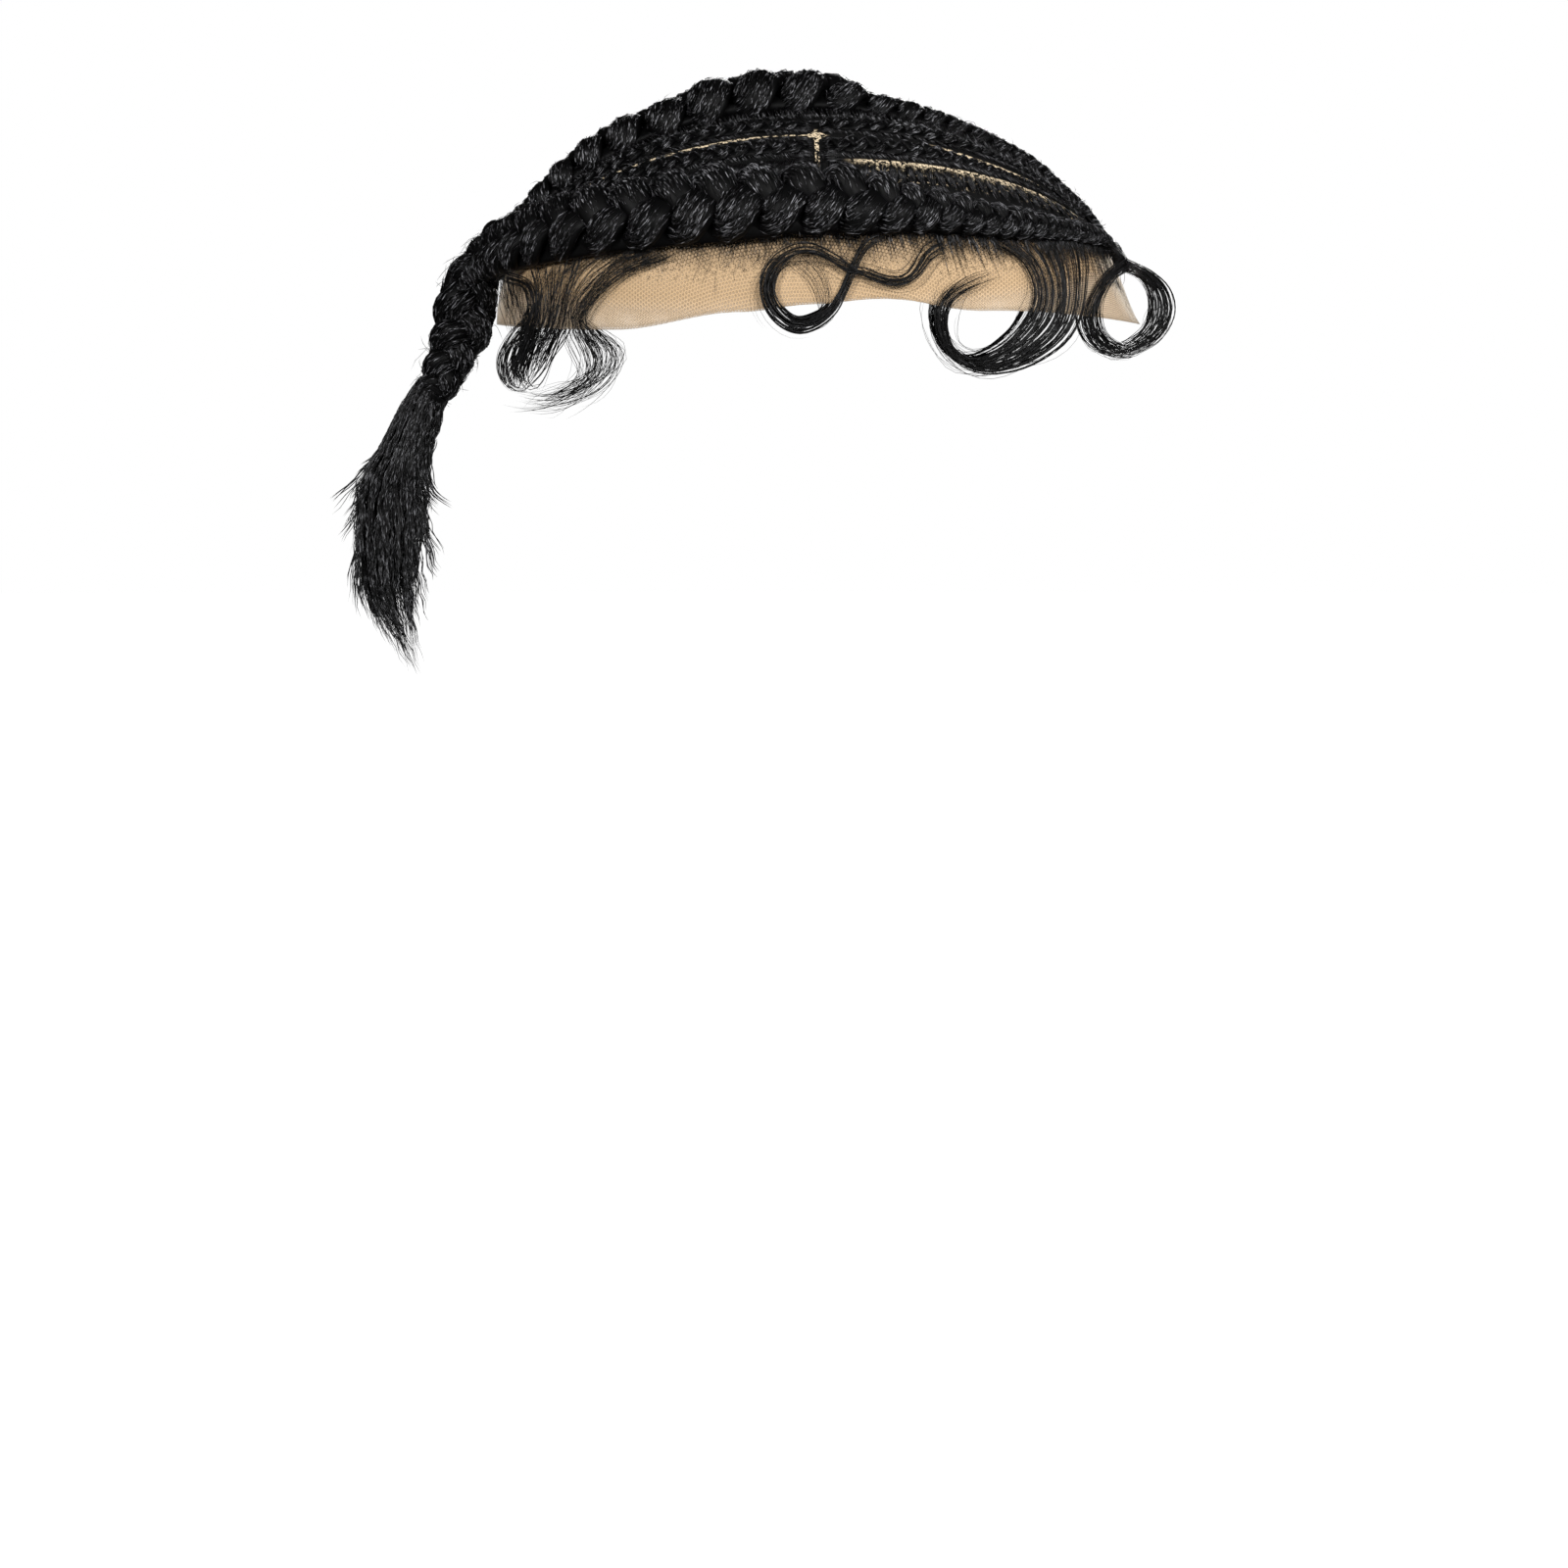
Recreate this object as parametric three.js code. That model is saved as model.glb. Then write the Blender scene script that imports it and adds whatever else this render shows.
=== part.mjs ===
// A cornrow toupee: braided hair tied to a dome of lace, which is worn on the crown of the head.
// Thick feed-in braids run over the top and along both sides, with thin rows between them,
// and all of them end at the back in one short plait with a loose brush of hair below it.
// Sizes are millimetres. +X is the wearer's front, +Y the wearer's left and +Z up.
// The origin is the centre of the head opening, at the height of the rim.
import * as THREE from "three";
import { LoftGeometry } from "three/addons/geometries/LoftGeometry.js";

// Driving dimensions.
const HEAD_HALF_LENGTH = 101.3; // from the origin to the scalp at the front or the back
const HEAD_HALF_WIDTH = 75.5; // from the origin to the scalp above an ear
const HEAD_HEIGHT = 67.3; // from the rim up to the scalp at the crown
const HEAD_FULLNESS = 2.3; // seen from the top: 2 is an ellipse, and more is squarer
const HEAD_EGG = 0.05; // how much wider the back of the head is than its middle
const LACE_THICKNESS = 1.0; // a stand-in for net that is far thinner
const SEAT_GAP = 0.3; // clearance left between pieces that touch in life
const FRONT_MEETING = 23.5; // height of the point at the front hairline that the rows start from
const BACK_MEETING = 19; // height of the point at the back that they run to
const BED_RADIUS = 120; // the hollow underside of a row, flatter than the head below it
const LUMPS_PER_WIDTH = 2; // a braid shows two lumps in a length equal to its width
const RINGS_PER_LUMP = 2;

// Height of the lace's rim. The azimuth is 0 at the front and 180 at the back, on both sides.
const RIM = [
  { azimuth: 0, height: 0 },
  { azimuth: 50, height: 5.5 },
  { azimuth: 75, height: 11 },
  { azimuth: 90, height: 9 },
  { azimuth: 107, height: 5.5 },
  { azimuth: 133, height: -1.5 },
  { azimuth: 180, height: 0 },
];

// Places where the loose edge of the lace stands away from the head.
const LIFTS = [
  { azimuth: 0, span: 20, lift: 4.5 },
  { azimuth: 66, span: 6, lift: 3 },
];

// Size of each kind of row, from its front end (along 0) to its back end (along 1).
const CROWN_SIZES = [
  { along: 0, width: 7, height: 3.5 },
  { along: 0.2, width: 11, height: 5 },
  { along: 0.36, width: 16, height: 7.5 },
  { along: 0.46, width: 24, height: 12.5 },
  { along: 0.62, width: 25, height: 13.5 },
  { along: 0.8, width: 22, height: 12 },
  { along: 1, width: 15, height: 10 },
];
const SIDE_SIZES = [
  { along: 0, width: 6, height: 3.5 },
  { along: 0.12, width: 11, height: 6 },
  { along: 0.28, width: 20, height: 11 },
  { along: 0.45, width: 25, height: 14 },
  { along: 0.65, width: 23, height: 13.5 },
  { along: 0.85, width: 20, height: 12.5 },
  { along: 1, width: 13, height: 10 },
];
const THIN_SIZES = [
  { along: 0, width: 4, height: 2.6 },
  { along: 0.3, width: 7, height: 4.4 },
  { along: 0.7, width: 7, height: 4.4 },
  { along: 1, width: 4, height: 2.6 },
];

// The rows. Tilt is the lean of the row's path away from the middle of the head, in degrees.
// Start and end are angles along that path, 0 at the front meeting point and 180 at the back.
const THICK_ROWS = [
  { name: "crown_braid", tilt: 0, start: 3.5, end: 174.5, sizes: CROWN_SIZES },
  { name: "side_braid", tilt: 77, start: 6, end: 171, sizes: SIDE_SIZES },
];
const THIN_ROWS = [
  { name: "thin_row_upper_front", tilt: 34.6, start: 11.5, end: 85 },
  { name: "thin_row_lower_front", tilt: 49.2, start: 12.5, end: 81 },
  { name: "thin_row_upper_back", tilt: 34.6, start: 94, end: 159 },
  { name: "thin_row_lower_back", tilt: 49.2, start: 90, end: 157 },
];

// The plait that hangs from the back, and the brush below it, in the middle plane of the head.
const TAIL = [
  { x: -98.6, z: 32.3, width: 11, depth: 13 },
  { x: -105.9, z: 21.5, width: 14.5, depth: 16 },
  { x: -111.4, z: 10.5, width: 18, depth: 16.5 },
  { x: -112.8, z: 0, width: 18.5, depth: 16 },
  { x: -116.2, z: -9.2, width: 16, depth: 14 },
  { x: -120, z: -17, width: 13, depth: 12 },
  { x: -123.6, z: -23, width: 10.5, depth: 10 },
];
const BRUSH = [
  { x: -124, z: -23.8, width: 10, depth: 9.5 },
  { x: -127.6, z: -31, width: 14, depth: 12.5 },
  { x: -131, z: -40, width: 17.5, depth: 15 },
  { x: -134, z: -54, width: 22, depth: 18 },
  { x: -135.8, z: -70, width: 24, depth: 18.5 },
  { x: -136, z: -85.5, width: 19.5, depth: 15 },
  { x: -133, z: -98.5, width: 11.5, depth: 9 },
  { x: -128.5, z: -111.5, width: 4, depth: 3.5 },
];

// The laid curls of one side, as turns about centres in the side view, each one a lock of hair.
// A turn starts at an angle, 0 to the front and 90 up, and sweeps on from there.
const CURLS = [
  {
    name: "curl_temple",
    widths: [15, 9, 5, 3],
    standoff: 1.5,
    rise: 0,
    turns: [{ x: 58, z: 4, radius: 20, start: 50, sweep: -290 }],
  },
  {
    name: "curl_side",
    widths: [3, 4, 5, 3],
    standoff: 1.5,
    rise: 5,
    turns: [
      { x: 38, z: 22, radius: 9, start: 30, sweep: 0 },
      { x: 26, z: 21, radius: 8, start: -40, sweep: -80 },
      { x: -1.5, z: 11.7, radius: 11.5, start: 60, sweep: 260 },
      { x: 21, z: 25, radius: 3, start: 170, sweep: 0 },
    ],
  },
  {
    name: "curl_nape_inner",
    widths: [12, 10, 6, 3],
    standoff: 1.5,
    rise: 0,
    turns: [
      { x: -112, z: 9, radius: 33, start: 18, sweep: -66 },
      { x: -96, z: -14, radius: 6.5, start: -60, sweep: -120 },
    ],
  },
  {
    name: "curl_nape_outer",
    widths: [8, 8, 7, 3],
    standoff: 1.5,
    rise: 3.8,
    turns: [
      { x: -47, z: -4, radius: 26, start: 92, sweep: 73 },
      { x: -70, z: -10, radius: 9, start: 115, sweep: -160 },
      { x: -84, z: -6, radius: 21, start: -50, sweep: -75 },
    ],
  },
];

// The curl at the corner of the forehead is a flat loop that stands off the head.
const FRONT_LOOP = { x: 103, y: 34, z: 6, halfWidth: 19, halfHeight: 14, lock: 4, thickness: 2.4, yaw: 45 };
const FRONT_LOOP_ROOT = { x: 93, y: 24, z: 24 };

const LACE_MATERIAL = new THREE.MeshStandardMaterial({ name: "lace", color: 0xd1b693, roughness: 0.8 });
const HAIR_MATERIAL = new THREE.MeshStandardMaterial({ name: "hair", color: 0x1c1c1d, roughness: 0.5 });

const toRadians = THREE.MathUtils.degToRad;

// Reads a column of a table between its rows, with a smooth change from row to row.
function tableValue(rows, key, at, column) {
  const next = rows.findIndex((row) => row[key] > at);
  if (next === 0) return rows[0][column];
  if (next === -1) return rows[rows.length - 1][column];
  const before = rows[next - 1];
  const after = rows[next];
  const share = THREE.MathUtils.smoothstep(at, before[key], after[key]);
  return THREE.MathUtils.lerp(before[column], after[column], share);
}

// Skins a closed solid through sections. Each section has to run anticlockwise as seen from the
// far end, which its area vector shows, and a set that runs the other way is turned round.
function closedLoft(sections) {
  const middle = Math.floor(sections.length / 2);
  const section = sections[middle];
  const areaVector = new THREE.Vector3();
  const travel = new THREE.Vector3();
  section.forEach((point, i) => {
    areaVector.add(new THREE.Vector3().crossVectors(point, section[(i + 1) % section.length]));
    travel.add(point).sub(sections[middle - 1][i]);
  });
  const turned = areaVector.dot(travel) < 0;
  const ordered = turned ? sections.map((ring) => ring.slice().reverse()) : sections;
  return new LoftGeometry(ordered, { capStart: true, capEnd: true });
}

// Where a line from the middle axis, at the given height, meets the scalp.
// The width depends on how far back the point is, so a few passes settle it.
function scalpPoint(direction, fromHeight) {
  const point = new THREE.Vector3();
  for (let pass = 0; pass < 5; pass += 1) {
    const halfWidth = HEAD_HALF_WIDTH * (1 - (HEAD_EGG * point.x) / HEAD_HALF_LENGTH);
    const plan = Math.pow(
      Math.pow(Math.abs(direction.x) / HEAD_HALF_LENGTH, HEAD_FULLNESS) +
        Math.pow(Math.abs(direction.y) / halfWidth, HEAD_FULLNESS),
      1 / HEAD_FULLNESS,
    );
    const a = plan * plan + (direction.z / HEAD_HEIGHT) ** 2;
    const b = (fromHeight * direction.z) / HEAD_HEIGHT ** 2;
    const c = (fromHeight / HEAD_HEIGHT) ** 2 - 1;
    const reach = (-b + Math.sqrt(b * b - a * c)) / a;
    point.copy(direction).multiplyScalar(reach);
    point.z += fromHeight;
  }
  return point;
}

// How far a point is through the scalp: 1 on it, and more outside.
function scalpLevel(x, y, z) {
  const halfWidth = HEAD_HALF_WIDTH * (1 - (HEAD_EGG * x) / HEAD_HALF_LENGTH);
  const plan = Math.pow(
    Math.pow(Math.abs(x) / HEAD_HALF_LENGTH, HEAD_FULLNESS) + Math.pow(Math.abs(y) / halfWidth, HEAD_FULLNESS),
    1 / HEAD_FULLNESS,
  );
  return plan * plan + (z / HEAD_HEIGHT) ** 2;
}

// The direction straight out of the scalp.
function scalpNormal(point) {
  const step = 0.01;
  const { x, y, z } = point;
  return new THREE.Vector3(
    scalpLevel(x + step, y, z) - scalpLevel(x - step, y, z),
    scalpLevel(x, y + step, z) - scalpLevel(x, y - step, z),
    scalpLevel(x, y, z + step) - scalpLevel(x, y, z - step),
  ).normalize();
}

// How far the lace stands off the scalp at a height, on a bearing from the front in degrees.
function laceLift(bearing, height) {
  const away = Math.abs(bearing);
  const rim = tableValue(RIM, "azimuth", away, "height");
  const nearRim = Math.exp(-Math.max(0, height - rim) / 6);
  let lift = 0;
  for (const place of LIFTS) {
    lift += place.lift * Math.exp(-(((away - place.azimuth) / place.span) ** 2)) * nearRim;
  }
  return lift;
}

// The lace: rings from the crown down the outside to the rim, then back up the inside.
function laceGeometry() {
  const bearings = 36;
  const rings = 9;
  const sections = [];
  const ringAt = (share, outward) => {
    const section = [];
    for (let i = 0; i < bearings; i += 1) {
      const bearing = (360 * i) / bearings;
      const around = -toRadians(bearing);
      const away = bearing > 180 ? 360 - bearing : bearing;
      const rimTurn = Math.acos(tableValue(RIM, "azimuth", away, "height") / HEAD_HEIGHT);
      const height = HEAD_HEIGHT * Math.cos(rimTurn * share);
      const spread = HEAD_HALF_LENGTH * Math.sin(rimTurn * share);
      const bearingLine = new THREE.Vector3(Math.cos(around) * spread, Math.sin(around) * spread, height);
      const point = scalpPoint(bearingLine.normalize(), 0);
      const offset = laceLift(away, point.z) + outward;
      section.push(point.addScaledVector(scalpNormal(point), offset));
    }
    return section;
  };
  for (let ring = 0; ring <= rings; ring += 1) sections.push(ringAt(ring / rings, LACE_THICKNESS));
  for (let ring = rings; ring >= 0; ring -= 1) sections.push(ringAt(ring / rings, 0));
  return new LoftGeometry(sections);
}

// A place on a row: the point just off the lace, and the directions out, along and across.
function rowPlace(tilt, angle) {
  const slope = Math.atan2(FRONT_MEETING - BACK_MEETING, 2 * HEAD_HALF_LENGTH);
  const lean = toRadians(tilt);
  const pointAt = (turn) => {
    const around = toRadians(turn);
    const direction = new THREE.Vector3(
      Math.cos(around),
      -Math.sin(around) * Math.sin(lean),
      Math.sin(around) * Math.cos(lean),
    );
    direction.applyAxisAngle(new THREE.Vector3(0, 1, 0), -slope);
    return scalpPoint(direction, (FRONT_MEETING + BACK_MEETING) / 2);
  };
  const point = pointAt(angle);
  const out = scalpNormal(point);
  const along = pointAt(angle + 0.2).sub(pointAt(angle - 0.2));
  along.addScaledVector(out, -along.dot(out)).normalize();
  const across = new THREE.Vector3().crossVectors(along, out);
  return { point: point.addScaledVector(out, LACE_THICKNESS + SEAT_GAP), out, along, across };
}

// A braid that lies on the lace: a rounded section with a lump on each side in turn.
function rowGeometry(row, sizes, slices, lumpsPerWidth) {
  const steps = 300;
  const lumpsAt = [0];
  let last = rowPlace(row.tilt, row.start).point;
  for (let step = 1; step <= steps; step += 1) {
    const share = step / steps;
    const here = rowPlace(row.tilt, THREE.MathUtils.lerp(row.start, row.end, share)).point;
    const width = tableValue(sizes, "along", share, "width");
    lumpsAt.push(lumpsAt[step - 1] + (here.distanceTo(last) * lumpsPerWidth) / width);
    last = here;
  }
  const lumps = Math.round(lumpsAt[steps]);
  const rings = lumps * RINGS_PER_LUMP;
  const sections = [];
  for (let ring = 0; ring <= rings; ring += 1) {
    const wanted = (lumpsAt[steps] * ring) / rings;
    const above = Math.max(1, lumpsAt.findIndex((count) => count >= wanted - 1e-9));
    const part = (wanted - lumpsAt[above - 1]) / (lumpsAt[above] - lumpsAt[above - 1]);
    const share = Math.min(1, (above - 1 + part) / steps);
    const place = rowPlace(row.tilt, THREE.MathUtils.lerp(row.start, row.end, share));
    const halfWidth = tableValue(sizes, "along", share, "width") / 2;
    const height = tableValue(sizes, "along", share, "height");
    const section = [];
    for (let i = 0; i < slices; i += 1) {
      const around = (2 * Math.PI * i) / slices;
      const side = Math.cos(around);
      const onTop = Math.max(0, Math.sin(around));
      const phase = (2 * Math.PI * ring) / RINGS_PER_LUMP + (side > 0 ? 0 : Math.PI);
      const lump = 1 + 0.13 * Math.cos(phase) * Math.min(1, 2 * Math.abs(side));
      const sideways = halfWidth * side * (onTop > 0 ? 0.9 * lump + 0.02 : 0.86);
      const up = height * Math.pow(onTop, 0.8) * (0.87 * lump) - sideways ** 2 / (2 * BED_RADIUS);
      section.push(
        place.point.clone().addScaledVector(place.across, sideways).addScaledVector(place.out, up),
      );
    }
    sections.push(section);
  }
  return closedLoft(sections);
}

// The plait and the brush hang in the middle plane, so their sections turn in that plane only.
function hangingGeometry(rows, slices, rings, lumps, lumpDepth) {
  const path = new THREE.CatmullRomCurve3(rows.map((row) => new THREE.Vector3(row.x, 0, row.z)));
  const depthLine = new THREE.Vector3(0, 1, 0);
  const sections = [];
  for (let ring = 0; ring <= rings; ring += 1) {
    const share = ring / rings;
    const place = share * (rows.length - 1);
    const before = rows[Math.min(rows.length - 2, Math.floor(place))];
    const after = rows[Math.min(rows.length - 1, Math.floor(place) + 1)];
    const part = place - rows.indexOf(before);
    const width = THREE.MathUtils.lerp(before.width, after.width, part);
    const depth = THREE.MathUtils.lerp(before.depth, after.depth, part);
    const center = path.getPoint(share);
    const across = new THREE.Vector3().crossVectors(depthLine, path.getTangent(share)).normalize();
    const section = [];
    for (let i = 0; i < slices; i += 1) {
      const around = (2 * Math.PI * i) / slices;
      const phase = 2 * Math.PI * lumps * share + (Math.cos(around) > 0 ? 0 : Math.PI);
      const lump = 1 + lumpDepth * (Math.cos(phase) - 1) * Math.abs(Math.cos(around));
      section.push(
        center
          .clone()
          .addScaledVector(across, (width / 2) * Math.cos(around) * lump)
          .addScaledVector(depthLine, -(depth / 2) * Math.sin(around) * lump),
      );
    }
    sections.push(section);
  }
  return closedLoft(sections);
}

// A place beside the head for a point of the side view, as far off the lace as asked.
function sidePlace(x, z, away, side) {
  const level = Math.max(z, 0);
  const inLength = Math.sqrt(Math.max(0.02, 1 - (level / HEAD_HEIGHT) ** 2));
  const halfWidth = HEAD_HALF_WIDTH * (1 - (HEAD_EGG * x) / HEAD_HALF_LENGTH);
  const reach = Math.pow(Math.abs(x) / HEAD_HALF_LENGTH / inLength, HEAD_FULLNESS);
  const y = halfWidth * inLength * Math.pow(Math.max(0.08, 1 - reach), 1 / HEAD_FULLNESS);
  const point = new THREE.Vector3(x, y * side, level);
  const out = scalpNormal(point);
  const bearing = THREE.MathUtils.radToDeg(Math.atan2(y, x));
  point.addScaledVector(out, LACE_THICKNESS + laceLift(bearing, level) + away);
  point.z += z - level;
  return { point, out };
}

// A lock of hair laid in turns on the side of the head: flat, and thinner towards its end.
function curlGeometry(curl, side) {
  const slices = 6;
  const rings = 24;
  const thickness = 2.4;
  const marks = [];
  for (const turn of curl.turns) {
    const count = Math.max(1, Math.round(Math.abs(turn.sweep) / 30));
    for (let i = 0; i <= (turn.sweep === 0 ? 0 : count); i += 1) {
      const angle = toRadians(turn.start + (turn.sweep * i) / count);
      marks.push(new THREE.Vector3(turn.x + turn.radius * Math.cos(angle), 0, turn.z + turn.radius * Math.sin(angle)));
    }
  }
  const path = new THREE.CatmullRomCurve3(marks);
  const places = [];
  for (let ring = 0; ring <= rings; ring += 1) {
    const flat = path.getPointAt(ring / rings);
    places.push(sidePlace(flat.x, flat.z, curl.standoff + (curl.rise * ring) / rings, side));
  }
  const sections = places.map((place, ring) => {
    const along = places[Math.min(rings, ring + 1)].point.clone().sub(places[Math.max(0, ring - 1)].point).normalize();
    const across = new THREE.Vector3().crossVectors(along, place.out).normalize();
    const spot = (ring / rings) * (curl.widths.length - 1);
    const first = Math.min(curl.widths.length - 2, Math.floor(spot));
    const width = THREE.MathUtils.lerp(curl.widths[first], curl.widths[first + 1], spot - first);
    const section = [];
    for (let i = 0; i < slices; i += 1) {
      const around = (2 * Math.PI * i) / slices;
      section.push(
        place.point
          .clone()
          .addScaledVector(across, (width / 2) * Math.cos(around))
          .addScaledVector(place.out, (thickness / 2) * Math.sin(around)),
      );
    }
    return section;
  });
  return closedLoft(sections);
}

// The forehead loop: a lock that leaves the hairline and swings round most of an oval in the air.
function frontLoopGeometry(side) {
  const slices = 6;
  const rings = 24;
  const yaw = toRadians(FRONT_LOOP.yaw) * side;
  const ahead = new THREE.Vector3(Math.cos(yaw), -Math.sin(yaw), 0);
  const out = new THREE.Vector3(Math.sin(yaw), Math.cos(yaw), 0).multiplyScalar(side);
  const center = new THREE.Vector3(FRONT_LOOP.x, FRONT_LOOP.y * side, FRONT_LOOP.z);
  const upward = new THREE.Vector3(0, 0, 1);
  const rootLine = new THREE.Vector3(FRONT_LOOP_ROOT.x, FRONT_LOOP_ROOT.y * side, FRONT_LOOP_ROOT.z);
  const root = scalpPoint(rootLine.normalize(), 0);
  root.addScaledVector(scalpNormal(root), LACE_THICKNESS + 1.5);
  const marks = [root];
  for (let turn = 70; turn >= -250; turn -= 32) {
    const angle = toRadians(turn);
    marks.push(
      center
        .clone()
        .addScaledVector(ahead, FRONT_LOOP.halfWidth * Math.cos(angle))
        .addScaledVector(upward, FRONT_LOOP.halfHeight * Math.sin(angle)),
    );
  }
  const path = new THREE.CatmullRomCurve3(marks);
  const sections = [];
  for (let ring = 0; ring <= rings; ring += 1) {
    const place = path.getPointAt(ring / rings);
    const spoke = new THREE.Vector3().crossVectors(path.getTangentAt(ring / rings), out).normalize();
    const section = [];
    for (let i = 0; i < slices; i += 1) {
      const around = (2 * Math.PI * i) / slices;
      section.push(
        place
          .clone()
          .addScaledVector(spoke, (FRONT_LOOP.lock / 2) * Math.cos(around))
          .addScaledVector(out, (FRONT_LOOP.thickness / 2) * Math.sin(around)),
      );
    }
    sections.push(section);
  }
  return closedLoft(sections);
}

const toupee = new THREE.Group();
toupee.name = "cornrow_toupee";

function addPiece(name, geometry, material) {
  const piece = new THREE.Mesh(geometry, material);
  piece.name = name;
  toupee.add(piece);
}

const SIDES = [
  { suffix: "right", side: -1 },
  { suffix: "left", side: 1 },
];

addPiece("lace_base", laceGeometry(), LACE_MATERIAL);

for (const row of THICK_ROWS) {
  if (row.tilt === 0) {
    addPiece(row.name, rowGeometry(row, row.sizes, 8, LUMPS_PER_WIDTH), HAIR_MATERIAL);
  } else {
    for (const { suffix, side } of SIDES) {
      const mirrored = { ...row, tilt: -side * row.tilt };
      addPiece(`${row.name}_${suffix}`, rowGeometry(mirrored, row.sizes, 8, LUMPS_PER_WIDTH), HAIR_MATERIAL);
    }
  }
}

for (const row of THIN_ROWS) {
  for (const { suffix, side } of SIDES) {
    const mirrored = { ...row, tilt: -side * row.tilt };
    addPiece(`${row.name}_${suffix}`, rowGeometry(mirrored, THIN_SIZES, 5, LUMPS_PER_WIDTH / 2), HAIR_MATERIAL);
  }
}

addPiece("tail_braid", hangingGeometry(TAIL, 10, 20, 4, 0.07), HAIR_MATERIAL);
addPiece("tail_brush", hangingGeometry(BRUSH, 12, 14, 0, 0), HAIR_MATERIAL);

for (const { suffix, side } of SIDES) {
  for (const curl of CURLS) addPiece(`${curl.name}_${suffix}`, curlGeometry(curl, side), HAIR_MATERIAL);
  addPiece(`curl_front_${suffix}`, frontLoopGeometry(side), HAIR_MATERIAL);
}

export default toupee;
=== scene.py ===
# %% [markdown]
# # A cornrow toupee
# The object is a hairpiece: a dome of fine lace with cornrows tied to it. A thick braid runs over the
# crown and one along each side, thin rows lie between them, and all of them gather at the back in a short
# plait with a loose brush of hair below it. Laid curls of baby hair frame the edge. Everything is worked
# out in millimetres, with +X to the wearer's front, +Y to the left and +Z up. Blender's unit here is the
# metre, so lengths are multiplied by MM where a mesh is made.

import bmesh
import bpy
import numpy as np
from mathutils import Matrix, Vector


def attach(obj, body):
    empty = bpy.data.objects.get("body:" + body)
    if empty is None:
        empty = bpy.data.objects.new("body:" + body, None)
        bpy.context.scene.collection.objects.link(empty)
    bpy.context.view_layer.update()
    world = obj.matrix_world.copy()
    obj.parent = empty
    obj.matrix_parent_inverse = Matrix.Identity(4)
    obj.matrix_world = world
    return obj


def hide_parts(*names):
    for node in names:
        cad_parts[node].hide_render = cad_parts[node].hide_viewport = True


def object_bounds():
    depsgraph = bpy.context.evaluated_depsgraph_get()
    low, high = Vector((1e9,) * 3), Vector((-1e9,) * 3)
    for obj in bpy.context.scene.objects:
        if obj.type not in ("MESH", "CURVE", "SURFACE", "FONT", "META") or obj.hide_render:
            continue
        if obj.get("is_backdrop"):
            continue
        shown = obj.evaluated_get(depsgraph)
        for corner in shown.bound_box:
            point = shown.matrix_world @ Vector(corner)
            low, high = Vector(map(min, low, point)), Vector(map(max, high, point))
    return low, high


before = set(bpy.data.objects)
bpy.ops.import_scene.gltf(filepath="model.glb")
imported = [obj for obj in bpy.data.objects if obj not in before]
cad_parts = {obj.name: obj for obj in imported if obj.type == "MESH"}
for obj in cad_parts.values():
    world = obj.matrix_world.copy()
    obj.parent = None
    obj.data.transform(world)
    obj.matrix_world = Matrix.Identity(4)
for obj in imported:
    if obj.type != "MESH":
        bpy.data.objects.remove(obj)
cad_low, cad_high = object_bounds()
MM = 0.001
rng = np.random.default_rng(11)
print("CAD nodes:", len(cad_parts))
print("CAD box in mm:", [round(v / MM, 1) for v in (*cad_low, *cad_high)])

# %% [markdown]
# ## Light, floor and camera
# The piece is shown on white, in flat studio light from both sides. The world is what the camera sees
# behind the hair, so it is pure white there, but as a lamp it is dimmer: black hair in an all-white room
# turns grey. The camera is far away with a long lens, level with the hair, as a catalogue picture is
# taken.

# %% The white room
ROOM_SEEN = 1.0
ROOM_GLOW = 0.04
scene = bpy.context.scene
scene.view_settings.view_transform = "Standard"
world = bpy.data.worlds.new("white_room")
scene.world = world
world.use_nodes = True
room = world.node_tree
room.nodes.clear()
rays = room.nodes.new("ShaderNodeLightPath")
either = room.nodes.new("ShaderNodeMixShader")
room_out = room.nodes.new("ShaderNodeOutputWorld")
room.links.new(rays.outputs["Is Camera Ray"], either.inputs["Fac"])
for entry, strength in ((1, ROOM_GLOW), (2, ROOM_SEEN)):
    backdrop = room.nodes.new("ShaderNodeBackground")
    backdrop.inputs["Color"].default_value = (1, 1, 1, 1)
    backdrop.inputs["Strength"].default_value = strength
    room.links.new(backdrop.outputs["Background"], either.inputs[entry])
room.links.new(either.outputs["Shader"], room_out.inputs["Surface"])
print("room strength, as a lamp and as seen:", ROOM_GLOW, ROOM_SEEN)

# %% Soft boxes
SOFT_BOXES = [
    # name, place in m, size in m, power in W
    ("key_front", (0.85, -1.65, 0.8), 0.5, 54),
    ("key_back", (-0.9, -1.6, 0.7), 0.5, 44),
    ("far_side", (0.2, 1.9, 0.35), 0.6, 45),
    ("fore", (1.9, -0.5, 0.5), 0.8, 26),
]
for name, lamp_place, size, power in SOFT_BOXES:
    lamp = bpy.data.lights.new(name, "AREA")
    lamp.shape = "DISK"
    lamp.size = size
    lamp.energy = power
    box = bpy.data.objects.new(name, lamp)
    box.location = lamp_place
    box.rotation_euler = (-Vector(lamp_place)).to_track_quat("-Z", "Y").to_euler()
    scene.collection.objects.link(box)
print("light in W:", sum(row[3] for row in SOFT_BOXES))

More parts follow.
